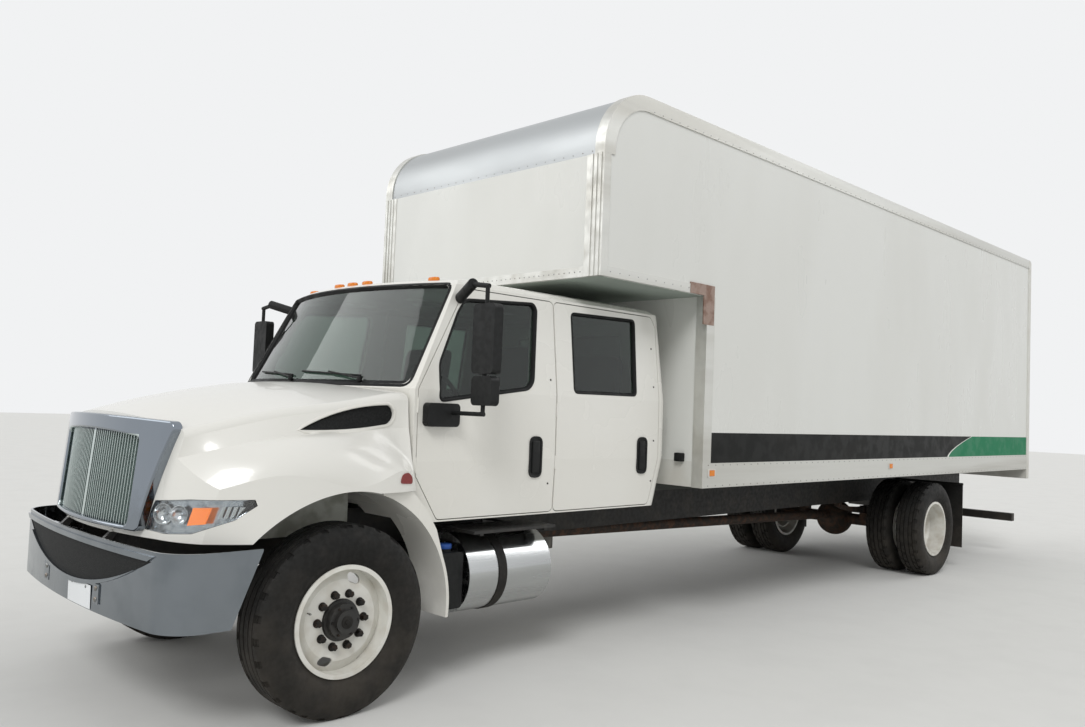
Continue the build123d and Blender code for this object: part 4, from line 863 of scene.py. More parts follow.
    def sheet(self, across: int, up: int, rule: Callable[[float, float], Vector], thick: Point3) -> "Form":
        """Adds a curved sheet.

        Args:
            across: How many faces it has along its first way.
            up: How many it has along its second way.
            rule: Gives the place of a point from two shares between 0 and 1.
            thick: The vector that its thickness is drawn along.

        Returns:
            This form.
        """
        made = bmesh.ops.create_grid(self.bm, x_segments=across, y_segments=up, size=0.5)["verts"]
        faces = list(dict.fromkeys(face for vert in made for face in vert.link_faces))
        for vert in made:
            vert.co = rule(vert.co.x + 0.5, vert.co.y + 0.5)
        self._drawn(faces, Vector(thick))
        return self

    def _drawn(self, faces: list, push: Vector) -> None:
        """Extrudes faces along a vector."""
        made = bmesh.ops.extrude_face_region(self.bm, geom=faces)["geom"]
        bmesh.ops.translate(self.bm, vec=push, verts=[g for g in made if isinstance(g, bmesh.types.BMVert)])

    def ringed(self, count: int, centre: Point3, axis: Point3 = (1, 0, 0)) -> "Form":
        """Repeats all that is there round an axis, count times in all.

        Args:
            count: How many there are in the end.
            centre: A point on the axis.
            axis: The axis that they stand round.

        Returns:
            This form.
        """
        start = list(self.bm.verts) + list(self.bm.edges) + list(self.bm.faces)
        for i in range(1, count):
            turn = Matrix.Rotation(math.tau * i / count, 3, Vector(axis))
            made = bmesh.ops.duplicate(self.bm, geom=start)["geom"]
            verts = [g for g in made if isinstance(g, bmesh.types.BMVert)]
            bmesh.ops.rotate(self.bm, cent=Vector(centre), matrix=turn, verts=verts)
        return self

    def moved(self, rule: Callable[[Vector], Vector]) -> "Form":
        """Moves every point as a rule says.

        Args:
            rule: Gives the new place of a point.

        Returns:
            This form.
        """
        for vert in self.bm.verts:
            vert.co = rule(vert.co)
        return self

    def cut_fine(self, cuts: int) -> "Form":
        """Divides every edge and fills between."""
        bmesh.ops.subdivide_edges(self.bm, edges=list(self.bm.edges), cuts=cuts, use_grid_fill=True)
        return self

    def piece(
        self, name: str, finish: Finish, body: str = "", sharp: float = 35.0, subdivide: int = 0
    ) -> bpy.types.Object:
        """Makes the form an object, which rides on a body of the CAD if one is given.

        Args:
            name: The piece's name.
            finish: What it is made of.
            body: The CAD body that carries it.
            sharp: Angle in degrees past which an edge stays crisp.
            subdivide: Levels of subdivision.

        Returns:
            The new object.
        """
        bmesh.ops.remove_doubles(self.bm, verts=list(self.bm.verts), dist=1e-5)
        bmesh.ops.recalc_face_normals(self.bm, faces=list(self.bm.faces))
        for face in self.bm.faces:
            face.smooth = True
        for edge in self.bm.edges:
            edge.smooth = len(edge.link_faces) == 2 and edge.calc_face_angle(0.0) < math.radians(sharp)
        mesh = bpy.data.meshes.new(name)
        self.bm.to_mesh(mesh)
        self.bm.free()
        made = bpy.data.objects.new(name, mesh)
        bpy.context.scene.collection.objects.link(made)
        made.data.materials.append(finish.material())
        if subdivide:
            rounding = made.modifiers.new("rounding", "SUBSURF")
            rounding.levels = rounding.render_levels = subdivide
        if body:
            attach(made, body)
        LOG.info("%s: %d faces of %s on %s", name, len(mesh.polygons), finish.name, body or "the stage")
        return made


class Surface:
    """The skin of a CAD node, for seating trim on it."""

    def __init__(self, *nodes: str) -> None:
        """Reads the nodes' meshes.

        Args:
            nodes: Names of the CAD nodes.
        """
        points: list[Vector] = []
        faces: list[list[int]] = []
        for name in nodes:
            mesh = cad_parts[name].data
            start = len(points)
            points += [v.co.copy() for v in mesh.vertices]
            faces += [[start + i for i in f.vertices] for f in mesh.polygons]
        self.tree = BVHTree.FromPolygons(points, faces)

    def seat(self, point: Point3, towards: Point3, back: float = 3.0) -> Vector:
        """Moves a point along a direction until it meets the skin.

        Args:
            point: A point anywhere on the line.
            towards: The direction of the line.
            back: How far before the point the search starts.

        Returns:
            Where the line meets the skin, or the point itself where it misses.
        """
        way = Vector(towards).normalized()
        hit = self.tree.ray_cast(Vector(point) - way * back, way)[0]
        return Vector(point) if hit is None else hit


# Sub-assemblies

# Height and half width of the cab's side
CAB_SIDE_ROWS = ((0.990, 1.038), (1.350, 1.050), (1.775, 1.044), (2.435, 0.970), (2.466, 0.928))


def cab_side_x(z: float) -> float:
    """Gives the half width of the cab's side at a height.

    Args:
        z: Height above the ground.

    Returns:
        Distance of the side from the centre line.
    """
    for (z0, x0), (z1, x1) in zip(CAB_SIDE_ROWS, CAB_SIDE_ROWS[1:]):
        if z <= z1:
            return x0 + (x1 - x0) * (z - z0) / (z1 - z0)
    return CAB_SIDE_ROWS[-1][1]


def on_side(side: Side, x: float, outline: Sequence[Point2]) -> list[Vector]:
    """Stands a flat outline up on one side of the truck.

    Args:
        side: The side of the truck.
        x: How far from the centre line it stands.
        outline: Distances behind the front axle, and heights.

    Returns:
        The outline's points in the frame of the CAD.
    """
    return [place(side.value * x, y, z) for y, z in outline]


@dataclass
class Tyre:
    """A highway tyre: bulged walls, rib grooves and notched shoulders."""

    name: str
    middles: Sequence[Vector]
    body: str
    node_name: str
    lugs: bool = False
    half_bead: float = 0.105
    bead_r: float = 0.2865
    bead_top_r: float = 0.309
    half_wall: float = 0.1393
    wall_steps: int = 10
    # Steps of the wall that carry the raised ring, and how far it stands out
    ring_at: tuple[int, ...] = (2, 3)
    ring_proud: float = 0.0012
    half_tread: float = 0.113
    shoulder_r: float = 0.497
    crown_r: float = 0.5118
    crown_in: float = 0.014
    groove_w: float = 0.010
    groove_deep: float = 0.014
    groove_at: tuple[float, ...] = (-0.066, -0.024, 0.024, 0.066)
    steps: int = 84
    # Every third face round the tyre is notched, on the shoulder and between the inner grooves
    notch_every: int = 3
    notch_out: float = 0.072
    notch_between: Point2 = (0.03, 0.06)
    notch_rim: float = 0.003
    notch_deep: float = 0.009

    def half_profile(self) -> list[Point2]:
        """Gives the outline of one side wall, from bead to shoulder.

        Returns:
            Points of offset and radius.
        """
        low, high = (self.half_bead, self.bead_top_r), (self.half_tread, self.shoulder_r)
        widest = self.half_wall - (low[0] + high[0]) / 2
        found = [(self.half_bead - 0.002, self.bead_r)]
        for k in range(self.wall_steps + 1):
            t = k / self.wall_steps
            offset = low[0] + (high[0] - low[0]) * t + math.sin(math.pi * t) ** 0.8 * widest
            ring = self.ring_proud if k in self.ring_at else 0.0
            found.append((offset + ring, low[1] + (high[1] - low[1]) * t))
        return found

    def profile(self) -> list[Point2]:
        """Gives the closed outline of the tyre's section.

        Returns:
            Points of offset and radius.
        """
        right = self.half_profile()
        edge, edge_r = self.half_tread - self.crown_in, self.crown_r - 0.001
        half, deep = self.groove_w / 2, self.crown_r - self.groove_deep
        crown: list[Point2] = [(edge, edge_r)]
        for at in reversed(self.groove_at):
            crown += [(at + half, self.crown_r), (at + half * 0.6, deep)]
            crown += [(at - half * 0.6, deep), (at - half, self.crown_r)]
        return [*right, *crown, (-edge, edge_r), *((-a, r) for a, r in reversed(right))]

    def notched(self, face: bmesh.types.BMFace) -> bool:
        """Tells whether a face of the tread is pressed in.

        Args:
            face: A face of the turned tyre.

        Returns:
            Whether it lies in a notch.
        """
        spot = face.calc_center_median()
        offset, y, z = spot - min(self.middles, key=lambda m: abs(m.x - spot.x))
        r = math.hypot(y, z)
        turn = int(math.atan2(z, y) / math.tau * self.steps + self.steps * 2) % self.notch_every
        low, high = self.notch_between
        outer = abs(offset) > self.notch_out and r > self.shoulder_r - 0.004
        inner = self.lugs and low < abs(offset) < high and r > self.crown_r - 0.001
        return (outer and turn == 0) or (inner and turn == 1)

    def build(self) -> None:
        """Turns the section, notches the tread and replaces the CAD tyre."""
        form = Form()
        for middle in self.middles:
            form.turned(self.profile(), middle, steps=self.steps)
        bmesh.ops.recalc_face_normals(form.bm, faces=list(form.bm.faces))
        pressed = [face for face in form.bm.faces if self.notched(face)]
        bmesh.ops.inset_individual(form.bm, faces=pressed, thickness=self.notch_rim, depth=-self.notch_deep)
        made = form.piece(self.name, RUBBER, self.body, sharp=32)
        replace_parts(made, self.node_name)


@dataclass
class WheelFittings:
    """Flange nuts, the hub cap's screws and filler, and the valve of one wheel."""

    side: Side
    where: str
    body: str
    axle_y: float
    face_x: float
    cap_reach: float
    stud_circle: float = 0.1429
    studs: int = 10
    nut_r: float = 0.0195
    nut_tall: float = 0.033
    nut_taper: float = 0.93
    flange_r: float = 0.0235
    flange_t: float = 0.006
    screw_circle: float = 0.078
    screws: int = 6
    screw_r: float = 0.0075
    screw_tall: float = 0.007
    cap_step: float = 0.022
    filler_r: float = 0.034
    plug_r: float = 0.015
    # Valve's foot from the axle and from the disc's face
    valve_at: Point2 = (-0.2, 0.06)
    valve_in: float = 0.03

    def build(self) -> None:
        """Builds the nuts, the screws, the filler and the valve."""
        s = self.side.value
        centre, out = place(0, self.axle_y, HUB_HEIGHT), Vector((s, 0, 0))

        def seat(past: float, y: float = 0.0, z: float = 0.0) -> Vector:
            """Gives a point past the disc's face, y and z from the axle."""
            return place(s * (self.face_x + past), self.axle_y + y, HUB_HEIGHT + z)

        top = seat(0, self.stud_circle)
        nuts = Form().rod(top, top + out * self.flange_t, self.flange_r, 20, bevel=0.001)
        nuts.rod(
            top + out * self.flange_t, top + out * self.nut_tall, self.nut_r, 6,
            tip=self.nut_r * self.nut_taper, bevel=0.001,
        )
        nuts.ringed(self.studs, centre).piece(f"nuts_{self.where}", DARK_ZINC, self.body)
        rim = seat(self.cap_reach - self.cap_step, self.screw_circle)
        screws = Form().rod(rim, rim + out * self.screw_tall, self.screw_r, 6, bevel=0.0008)
        screws.ringed(self.screws, centre).piece(f"hub_screws_{self.where}", DARK_ZINC, self.body)
        end = seat(self.cap_reach)
        filler = Form().rod(end, end + out * 0.004, self.filler_r, 28, bevel=0.001)
        filler.rod(end + out * 0.004, end + out * 0.012, self.plug_r, 18, tip=0.013, bevel=0.002)
        filler.piece(f"hub_filler_{self.where}", RUBBER, self.body)
        foot = seat(-self.valve_in, *self.valve_at)
        valve = Form().rod(foot, foot + out * 0.055, 0.004, 10, tip=0.0035)
        valve.rod(foot + out * 0.045, foot + out * 0.062, 0.0055, 10, bevel=0.001)
        valve.piece(f"valve_{self.where}", ZINC, self.body)


@dataclass
class RunningGear:
    """Tyres and wheel fittings of both axles."""

    front_x: float = 1.020
    rear_outer_x: float = 1.0915
    rear_inner_x: float = 0.7485
    front_face: float = 1.080
    rear_face: float = 0.932
    front_cap: float = 0.070
    rear_cap: float = 0.098

    def build(self) -> None:
        """Builds every tyre and its wheel's fittings."""
        for side in Side:
            s, word = side.value, side.word
            front = [place(s * self.front_x, 0, HUB_HEIGHT)]
            rear = [place(s * x, REAR_AXLE, HUB_HEIGHT) for x in (self.rear_outer_x, self.rear_inner_x)]
            front_body, rear_body = f"wheel_front_{word}", f"wheel_rear_{word}"
            Tyre(f"tread_front_{word}", front, front_body, f"tyre_front_{word}").build()
            Tyre(f"treads_rear_{word}", rear, rear_body, f"tyres_rear_{word}", lugs=True).build()
            WheelFittings(side, f"front_{word}", front_body, 0.0, self.front_face, self.front_cap).build()
            WheelFittings(side, f"rear_{word}", rear_body, REAR_AXLE, self.rear_face, self.rear_cap).build()


@dataclass
class CabGlazing:
    """Rubber round the side windows, from the skin down to the glass."""

    front_window: tuple[Point2, ...] = (
        (0.646, 1.712), (1.375, 1.812), (1.420, 1.860), (1.472, 2.345),
        (1.445, 2.378), (0.862, 2.341), (0.800, 2.262), (0.646, 1.935),
    )
    rear_window: tuple[Point2, ...] = ((1.820, 1.808), (2.478, 1.812), (2.500, 2.366), (1.820, 2.352))
    corner_r: float = 0.030
    step: float = 0.25
    section: tuple[Point2, ...] = (
        (0.012, -0.0004), (0.012, 0.0016), (0.009, 0.0036), (0.001, 0.0036), (-0.005, 0.0005),
        (-0.013, -0.0166), (-0.013, -0.0175), (-0.0006, -0.0175), (-0.0006, -0.0004),
    )

    def window(self, door: str, outline: Sequence[Point2], side: Side) -> None:
        """Builds the rubber round one side window.

        Args:
            door: The door, front or rear.
            outline: The opening's corners.
            side: The side of the truck.
        """

        def seat(point: Point2, _by: float, off: float) -> Vector:
            """Gives a point off the cab's side."""
            return place(side.value * (cab_side_x(point[1]) + off), *point)

        ring = dense(rounded(outline, self.corner_r), self.step)
        name = f"{door}_{side.word}"
        Form().bead(ring, self.section, seat).piece(f"window_rubber_{name}", SEAL_RUBBER, f"door_{name}")

    def build(self) -> None:
        """Builds the side windows' rubbers."""
        for side in Side:
            self.window("front", self.front_window, side)
            self.window("rear", self.rear_window, side)


@dataclass
class Windscreen:
    """Bowed windscreen: its rubber surround and two parked wipers."""

    corners: tuple[Point2, ...] = ((-0.985, 1.800), (0.985, 1.800), (0.932, 2.431), (-0.932, 2.431))
    back_corners: tuple[Point2, ...] = ((-0.600, 1.830), (0.600, 1.830), (0.600, 2.300), (-0.600, 2.300))
    middle_y: float = 1.6
    corner_r: float = 0.045
    step: float = 0.08
    section: tuple[Point2, ...] = (
        (0.018, -0.0005), (0.018, 0.0020), (0.014, 0.0045), (0.004, 0.0045),
        (-0.018, 0.0015), (-0.018, -0.0006),
    )
    # Name, pivot's and tip's distance to the left
    wipers: tuple[tuple[str, float, float], ...] = (("left", 0.62, 0.02), ("right", -0.08, -0.68))
    pivot_z: float = 1.828
    knee_z: float = 1.868
    arm_off: float = 0.030
    blade_z: float = 1.846
    blade_rise: float = 0.003
    blade_off: float = 0.012
    blade_steps: int = 8

    def rubber(self, name: str, corners: Sequence[Point2], facing: float) -> None:
        """Builds the rubber round the windscreen or the rear window.

        Args:
            name: The piece's name.
            corners: The opening's corners, across the truck and up.
            facing: -1 for a window that looks ahead, 1 for one that looks back.
        """
        skin, glass = Surface("cab_shell"), Surface("cab_glass")
        way = Vector((0, -facing, 0))

        def seat(point: Point2, by: float, off: float) -> Vector:
            """Gives a point off the cab's skin outside the opening, off the glass inside it."""
            surface = skin if by > 0 else glass
            return surface.seat(place(point[0], self.middle_y, point[1]), way) - way * off

        ring = dense(rounded(corners, self.corner_r), self.step)
        Form().bead(ring, self.section, seat).piece(name, SEAL_RUBBER, "chassis")

    def wiper(self, glass: Surface, name: str, pivot: float, tip: float) -> None:
        """Builds one wiper: its pivot, its arm and a blade that follows the glass.

        Args:
            glass: The windscreen's surface.
            name: The side that it is named for.
            pivot: The pivot's distance to the left.
            tip: The tip's distance to the left.
        """

        def ahead(x: float, z: float, off: float) -> Vector:
            """Gives a point in front of the windscreen."""
            return glass.seat(place(x, 0, z), (0, 1, 0)) - Vector((0, off, 0))

        root = ahead(pivot, self.pivot_z, self.arm_off)
        knee = ahead((pivot + tip) / 2, self.knee_z, self.arm_off)
        arm = Form().rod(root, knee, 0.007, 8, tip=0.005)
        arm.rod(root - Vector((0, 0, 0.020)), root + Vector((0, 0, 0.012)), 0.016, 16, bevel=0.002)
        start, reach = pivot - 0.02, (tip - pivot) / self.blade_steps
        blade = [
            ahead(start + reach * k, self.blade_z + self.blade_rise * k, self.blade_off)
            for k in range(self.blade_steps + 1)
        ]
        for first, second in zip(blade, blade[1:]):
            arm.rod(first, second, 0.006, 8)
        arm.piece(f"wiper_{name}", BLACK_PLASTIC, "chassis")

    def build(self) -> None:
        """Builds both rubbers and the wipers."""
        self.rubber("windscreen_rubber", self.corners, -1.0)
        self.rubber("rear_window_rubber", self.back_corners, 1.0)
        glass = Surface("cab_glass")
        for name, pivot, tip in self.wipers:
            self.wiper(glass, name, pivot, tip)


@dataclass
class DoorHandles:
    """Upright black grab handles, one on each cab door."""

    low_z: float = 1.232
    high_z: float = 1.503
    half: float = 0.058
    bezel_w: float = 0.014
    bezel_proud: float = 0.007
    bezel_deep: float = 0.012
    grip_half: float = 0.034
    grip_in: float = 0.030
    grip_proud: float = 0.011
    places: tuple[tuple[str, float], ...] = (("front", 1.452), ("rear", 2.558))

    def build(self) -> None:
        """Builds the bezels and the grips."""
        for side in Side:
            for door, y in self.places:
                self.handle(side, door, y)

    def handle(self, side: Side, door: str, y: float) -> None:
        """Builds one handle.

        Args:
            side: The side of the truck.
            door: The door, front or rear.
            y: The handle's middle behind the front axle.
        """
        s = side.value
        x = cab_side_x((self.low_z + self.high_z) / 2)
        corners = rectangle((y - self.half, self.low_z), (y + self.half, self.high_z))
        outline = rounded(corners, self.half * 1.6, 8)
        inner = grown(outline, -self.bezel_w)
        bezel = Form().hoop(
            on_side(side, x + self.bezel_proud, outline), on_side(side, x + self.bezel_proud * 0.6, inner),
            (-s * self.bezel_deep, 0, 0),
        )
        bezel.slab(on_side(side, x + 0.001, inner), (-s * 0.004, 0, 0))
        name = f"{door}_{side.word}"
        bezel.piece(f"handle_bezel_{name}", BLACK_PLASTIC, f"door_{name}")
        low = (s * (x - 0.002), y - self.grip_half, self.low_z + self.grip_in)
        high = (s * (x + self.grip_proud), y + self.grip_half, self.high_z - self.grip_in)
        Form().crate(low, high, 0.012, 4).piece(f"handle_grip_{name}", BLACK_PLASTIC, f"door_{name}")


@dataclass
class SideStripes:
    """Vinyl bands along the lower side of the load box."""

    low_z: float = 1.316
    high_z: float = 1.550
    black_from: float = 3.080
    arc_low_y: float = 7.780
    arc_high_y: float = 8.500
    arc_w: float = 0.040
    arc_steps: int = 12
    rear: float = 10.455
    film: float = 0.0008
    sunk: float = 0.0004

    def arc(self, shift: float) -> list[Point2]:
        """Gives the sweeping edge between the two colours, moved along by shift.

        Args:
            shift: How far behind the first edge its foot lies.

        Returns:
            The edge's points, foot first.
        """
        points = []
        for k in range(self.arc_steps + 1):
            t = k / self.arc_steps
            y = self.arc_low_y + (self.arc_high_y - self.arc_low_y) * t**1.5
            points.append((y + shift * (1 - t * 0.4), self.low_z + (self.high_z - self.low_z) * t))
        return points

    def build(self) -> None:
        """Builds the black, white and green bands on both sides."""
        near, far = self.arc(0.0), self.arc(self.arc_w)
        for name, outline, finish in (
            ("black", [(self.black_from, self.high_z), (self.black_from, self.low_z), *near], VINYL_BLACK),
            ("white", [*near, *reversed(far)], VINYL_WHITE),
            ("green", [*far, (self.rear, self.high_z), (self.rear, self.low_z)], VINYL_GREEN),
        ):
            form = Form()
            for side in Side:
                push = (side.value * (self.film + self.sunk), 0, 0)
                form.slab(on_side(side, BOX_SKIN_X - self.sunk, outline), push)
            form.piece(f"side_band_{name}", finish, "chassis")


@dataclass
class BoxRivets:
    """Domed rivets along the load box's seams."""

    radius: float = 0.006
    tall: float = 0.003
    rail_x: float = 1.27
    # Half length, distance behind the front axle, height and count of a row on the attic's front
    front_rows: tuple[tuple[float, float, float, int], ...] = (
        (1.15, 1.788, 3.462, 26), (1.08, 1.780, 2.634, 44),
    )
    # First and last distance behind the front axle, height and count of a row on the side
    side_rows: tuple[tuple[float, float, float, int], ...] = (
        (2.30, 10.43, 3.842, 82), (3.10, 10.42, 1.300, 74), (3.10, 10.42, 1.142, 74), (1.88, 2.78, 2.634, 10),
    )

    def row(self, form: Form, start: Vector, end: Vector, count: int, out: Vector) -> None:
        """Adds a row of rivets to a form.

        Args:
            form: The form that takes them.
            start: The first rivet's seat.
            end: The last rivet's seat.
            count: How many there are.
            out: The way their domes face.
        """
        for k in range(count):
            seat = start.lerp(end, k / (count - 1))
            form.rod(seat - out * 0.001, seat + out * self.tall, self.radius, 7, tip=self.radius * 0.45)

    def build(self) -> None:
        """Builds the rivets of the nose, the strip, the rails and the posts."""
        form = Form()
        for half, y, z, count in self.front_rows:
            self.row(form, place(-half, y, z), place(half, y, z), count, Vector((0, -1, 0)))
        for side in Side:
            x = side.value * self.rail_x
            for first, last, z, count in self.side_rows:
                self.row(form, place(x, first, z), place(x, last, z), count, Vector((side.value, 0, 0)))
        form.piece("box_rivets", ZINC, "chassis")


@dataclass
class TailFittings:
    """Latch, pull strap, foot seal and slat rivets of the roll-up door."""

    face_y: float = 10.503
    foot_z: float = 1.256
    slat_tall: float = 0.40767
    slats: int = 6
    half_w: float = 1.158
    rivet_x: tuple[float, ...] = (-1.120, -0.560, 0.560, 1.120)
    rivet_shares: Point2 = (0.18, 0.82)
    rivet_r: float = 0.0075
    latch_up: float = 0.140
    plate_proud: float = 0.022
    strap: tuple[Point2, Point2] = ((0.200, 1.300), (0.236, 1.420))
    seal_top: float = 1.292

    def rivets(self) -> None:
        """Builds the rivets that hold the hinges behind the slats."""
        form = Form()
        out = Vector((0, 1, 0))
        for slat in range(self.slats):
            for share in self.rivet_shares:
                for x in self.rivet_x:
                    seat = place(x, self.face_y, self.foot_z + self.slat_tall * (slat + share))
                    form.rod(seat - out * 0.001, seat + out * 0.003, self.rivet_r, 8, tip=0.004)
        form.piece("door_slat_rivets", ZINC, "chassis")

    def latch(self) -> None:
        """Builds the latch's lever and keeper over its plate, the strap and the seal."""
        plate = place(0, self.face_y + self.plate_proud, self.foot_z + self.latch_up)
        form = Form().rod(plate, plate + Vector((0, 0.010, 0)), 0.020, 24, bevel=0.002)
        form.box(plate + Vector((-0.110, 0.008, -0.011)), plate + Vector((0.012, 0.018, 0.011)), 0.004)
        form.box(plate + Vector((-0.128, -0.022, -0.030)), plate + Vector((-0.098, 0.004, 0.030)), 0.003)
        form.piece("door_latch_lever", ZINC, "chassis")
        (x0, z0), (x1, z1) = self.strap
        near, far = self.face_y - 0.001, self.face_y + 0.004
        Form().crate((x0, near, z0), (x1, far, z1), 0.0015).piece("door_pull_strap", RUBBER, "chassis")
        low = (-self.half_w, near, self.foot_z + 0.001)
        seal = Form().crate(low, (self.half_w, self.face_y + 0.006, self.seal_top), 0.002)
        seal.piece("door_foot_seal", SEAL_RUBBER, "chassis")

    def build(self) -> None:
        """Builds all of the door's fittings."""
        self.rivets()
        self.latch()


@dataclass
class Gussets:
    """Bent plates where the attic meets the load box."""

    thick: float = 0.012
    outline: tuple[Point2, ...] = (
        (2.800, 2.598), (2.800, 2.682), (3.112, 2.682), (3.112, 2.377), (2.975, 2.377), (2.975, 2.598),
    )

    def build(self) -> None:
        """Builds the plate on each side."""
        form = Form()
        for side in Side:
            form.slab(on_side(side, BOX_SKIN_X, self.outline), (side.value * self.thick, 0, 0))
        form.piece("attic_gussets", RUSTED_PLATE, "chassis")


@dataclass
class EngineBay:
    """What shows on the engine and the radiator once the hood is tilted."""

    top_z: float = 1.370
    front_y: float = -0.420
    core_y: float = -0.640
    # Rocker cover: half width, front, rear and height over the block
    cover: tuple[float, float, float, float] = (0.125, -0.350, 0.310, 0.070)
    ribs: int = 9
    rib_pitch: float = 0.070
    bolt_x: float = 0.142
    bolts: int = 5
    bolt_pitch: float = 0.150
    intake_z: float = 1.285
    intake_x: float = 0.330
    ports: int = 6
    drum_x: float = -0.435
    drum_z: float = 1.255
    drum_r: float = 0.140
    hoops: int = 4
    pitch: float = 0.110
    fan_z: float = 1.110
    fan_r: float = 0.270
    shroud_r: float = 0.300
    blades: int = 8
    blade_twist: float = 0.45
    # Splash panel: front, rear, height of its foot, distance from the centre line, and how far it leans in
    panel: tuple[float, float, float, float, float] = (-0.420, 0.300, 0.905, 0.640, 0.020)

    def rocker_cover(self) -> None:
        """Builds the ribbed cover over the valves, with its filler cap and bolts."""
        half, front, rear, tall = self.cover
        top = self.top_z
        form = Form().crate((-half, front, top - 0.002), (half, rear, top + tall), 0.020, 3)
        for k in range(self.ribs):
            y = front + 0.050 + self.rib_pitch * k
            form.crate((-0.100, y - 0.006, top + 0.060), (0.100, y + 0.006, top + 0.078), 0.003, 1)
        form.piece("rocker_cover", CASTING, "chassis")
        cap = place(0.060, 0.275, top + 0.065)
        trim = Form().rod(cap, cap + Vector((0, 0, 0.040)), 0.032, 24, bevel=0.004)
        for s in (1, -1):
            for k in range(self.bolts):
                seat = place(s * self.bolt_x, front + 0.030 + self.bolt_pitch * k, top - 0.001)
                trim.rod(seat, seat + Vector((0, 0, 0.012)), 0.009, 6, bevel=0.001)
        trim.piece("engine_cap_and_bolts", BLACK_PLASTIC, "chassis")

    def manifolds(self) -> None:
        """Builds the intake manifold on one flank and the air cleaner on the other."""
        x, z = self.intake_x, self.intake_z
        form = Form().rod(place(x, -0.330, z), place(x, 0.300, z), 0.045, 24, bevel=0.006)
        for k in range(self.ports):
            y = -0.280 + self.pitch * k
            form.rod(place(x - 0.040, y, z), place(x + 0.015, y, z), 0.036, 18, bevel=0.003)
        form.piece("intake_manifold", CASTING, "chassis")
        x, z = self.drum_x, self.drum_z
        drum = Form().rod(place(x, -0.180, z), place(x, 0.260, z), self.drum_r, 40, bevel=0.014)
        for k in range(self.hoops):
            y = -0.120 + self.pitch * k
            drum.rod(place(x, y, z), place(x, y + 0.018, z), self.drum_r + 0.004, 40, bevel=0.003)
        drum.piece("air_cleaner", BLACK_PLASTIC, "chassis")

    def fan(self) -> None:
        """Builds the fan on its drive, in the shroud behind the core."""
        middle = place(0, self.front_y, self.fan_z)
        ahead = Vector((0, -1, 0))
        form = Form().rod(middle, middle + ahead * 0.120, 0.060, 28, bevel=0.006)
        form.rod(middle + ahead * 0.095, middle + ahead * 0.125, 0.095, 32, bevel=0.006)
        form.piece("fan_drive", CASTING, "chassis")
        low, high = Vector((0.080, -0.118, -0.045)), Vector((self.fan_r - 0.015, -0.108, 0.045))
        blade = Form().box(middle + low, middle + high, 0.003, 1)
        blade.moved(lambda p: Vector((p.x, p.y + (p.z - self.fan_z) * self.blade_twist, p.z)))
        blade.ringed(self.blades, middle, (0, 1, 0)).piece("fan_blades", BLACK_PLASTIC, "chassis")
        r = self.fan_r
        lip = [(0.0, r), (0.075, r), (0.075, r + 0.004), (0.004, r + 0.004), (0.0, self.shroud_r)]
        shroud = Form().turned(lip, place(0, self.core_y, self.fan_z), (0, 1, 0), 48)
        shroud.piece("fan_shroud", BLACK_PLASTIC, "chassis")

    def radiator(self) -> None:
        """Builds the radiator's finned rear face, its top tank and its cap."""
        y = self.core_y
        core = Form().crate((-0.345, y - 0.001, 0.850), (0.345, y + 0.0015, 1.372), 0.0004, 1)
        core.piece("radiator_rear_fins", RADIATOR_CORE_PAINTED_LIGHT, "chassis")
        tank = Form().crate((-0.372, -0.763, 1.376), (0.372, -0.637, 1.424), 0.012, 3)
        tank.rod(place(-0.22, -0.700, 1.422), place(-0.22, -0.700, 1.446), 0.030, 24, bevel=0.004)
        tank.piece("radiator_top_tank", BLACK_PLASTIC, "chassis")

    def splash_panels(self) -> None:
        """Builds the pale inner panel of each wheel arch, hung from the hood."""
        skin = Surface("hood")
        front, rear, foot, x, lean = self.panel
        form = Form()
        for s in (1, -1):

            def at(a: float, b: float) -> Vector:
                """Gives a point of the panel, from its low edge up to the hood's inner face."""
                low = place(s * (x - lean * b), front + (rear - front) * a, foot)
                return low.lerp(skin.seat(low, (0, 0, 1), 0.0), b)

            form.sheet(20, 6, at, (-s * 0.003, 0, 0))
        form.piece("splash_panels", SPLASH_PLASTIC, "hood")

    def build(self) -> None:
        """Builds all that shows in the bay."""
        self.splash_panels()
        self.rocker_cover()
        self.manifolds()
        self.fan()
        self.radiator()


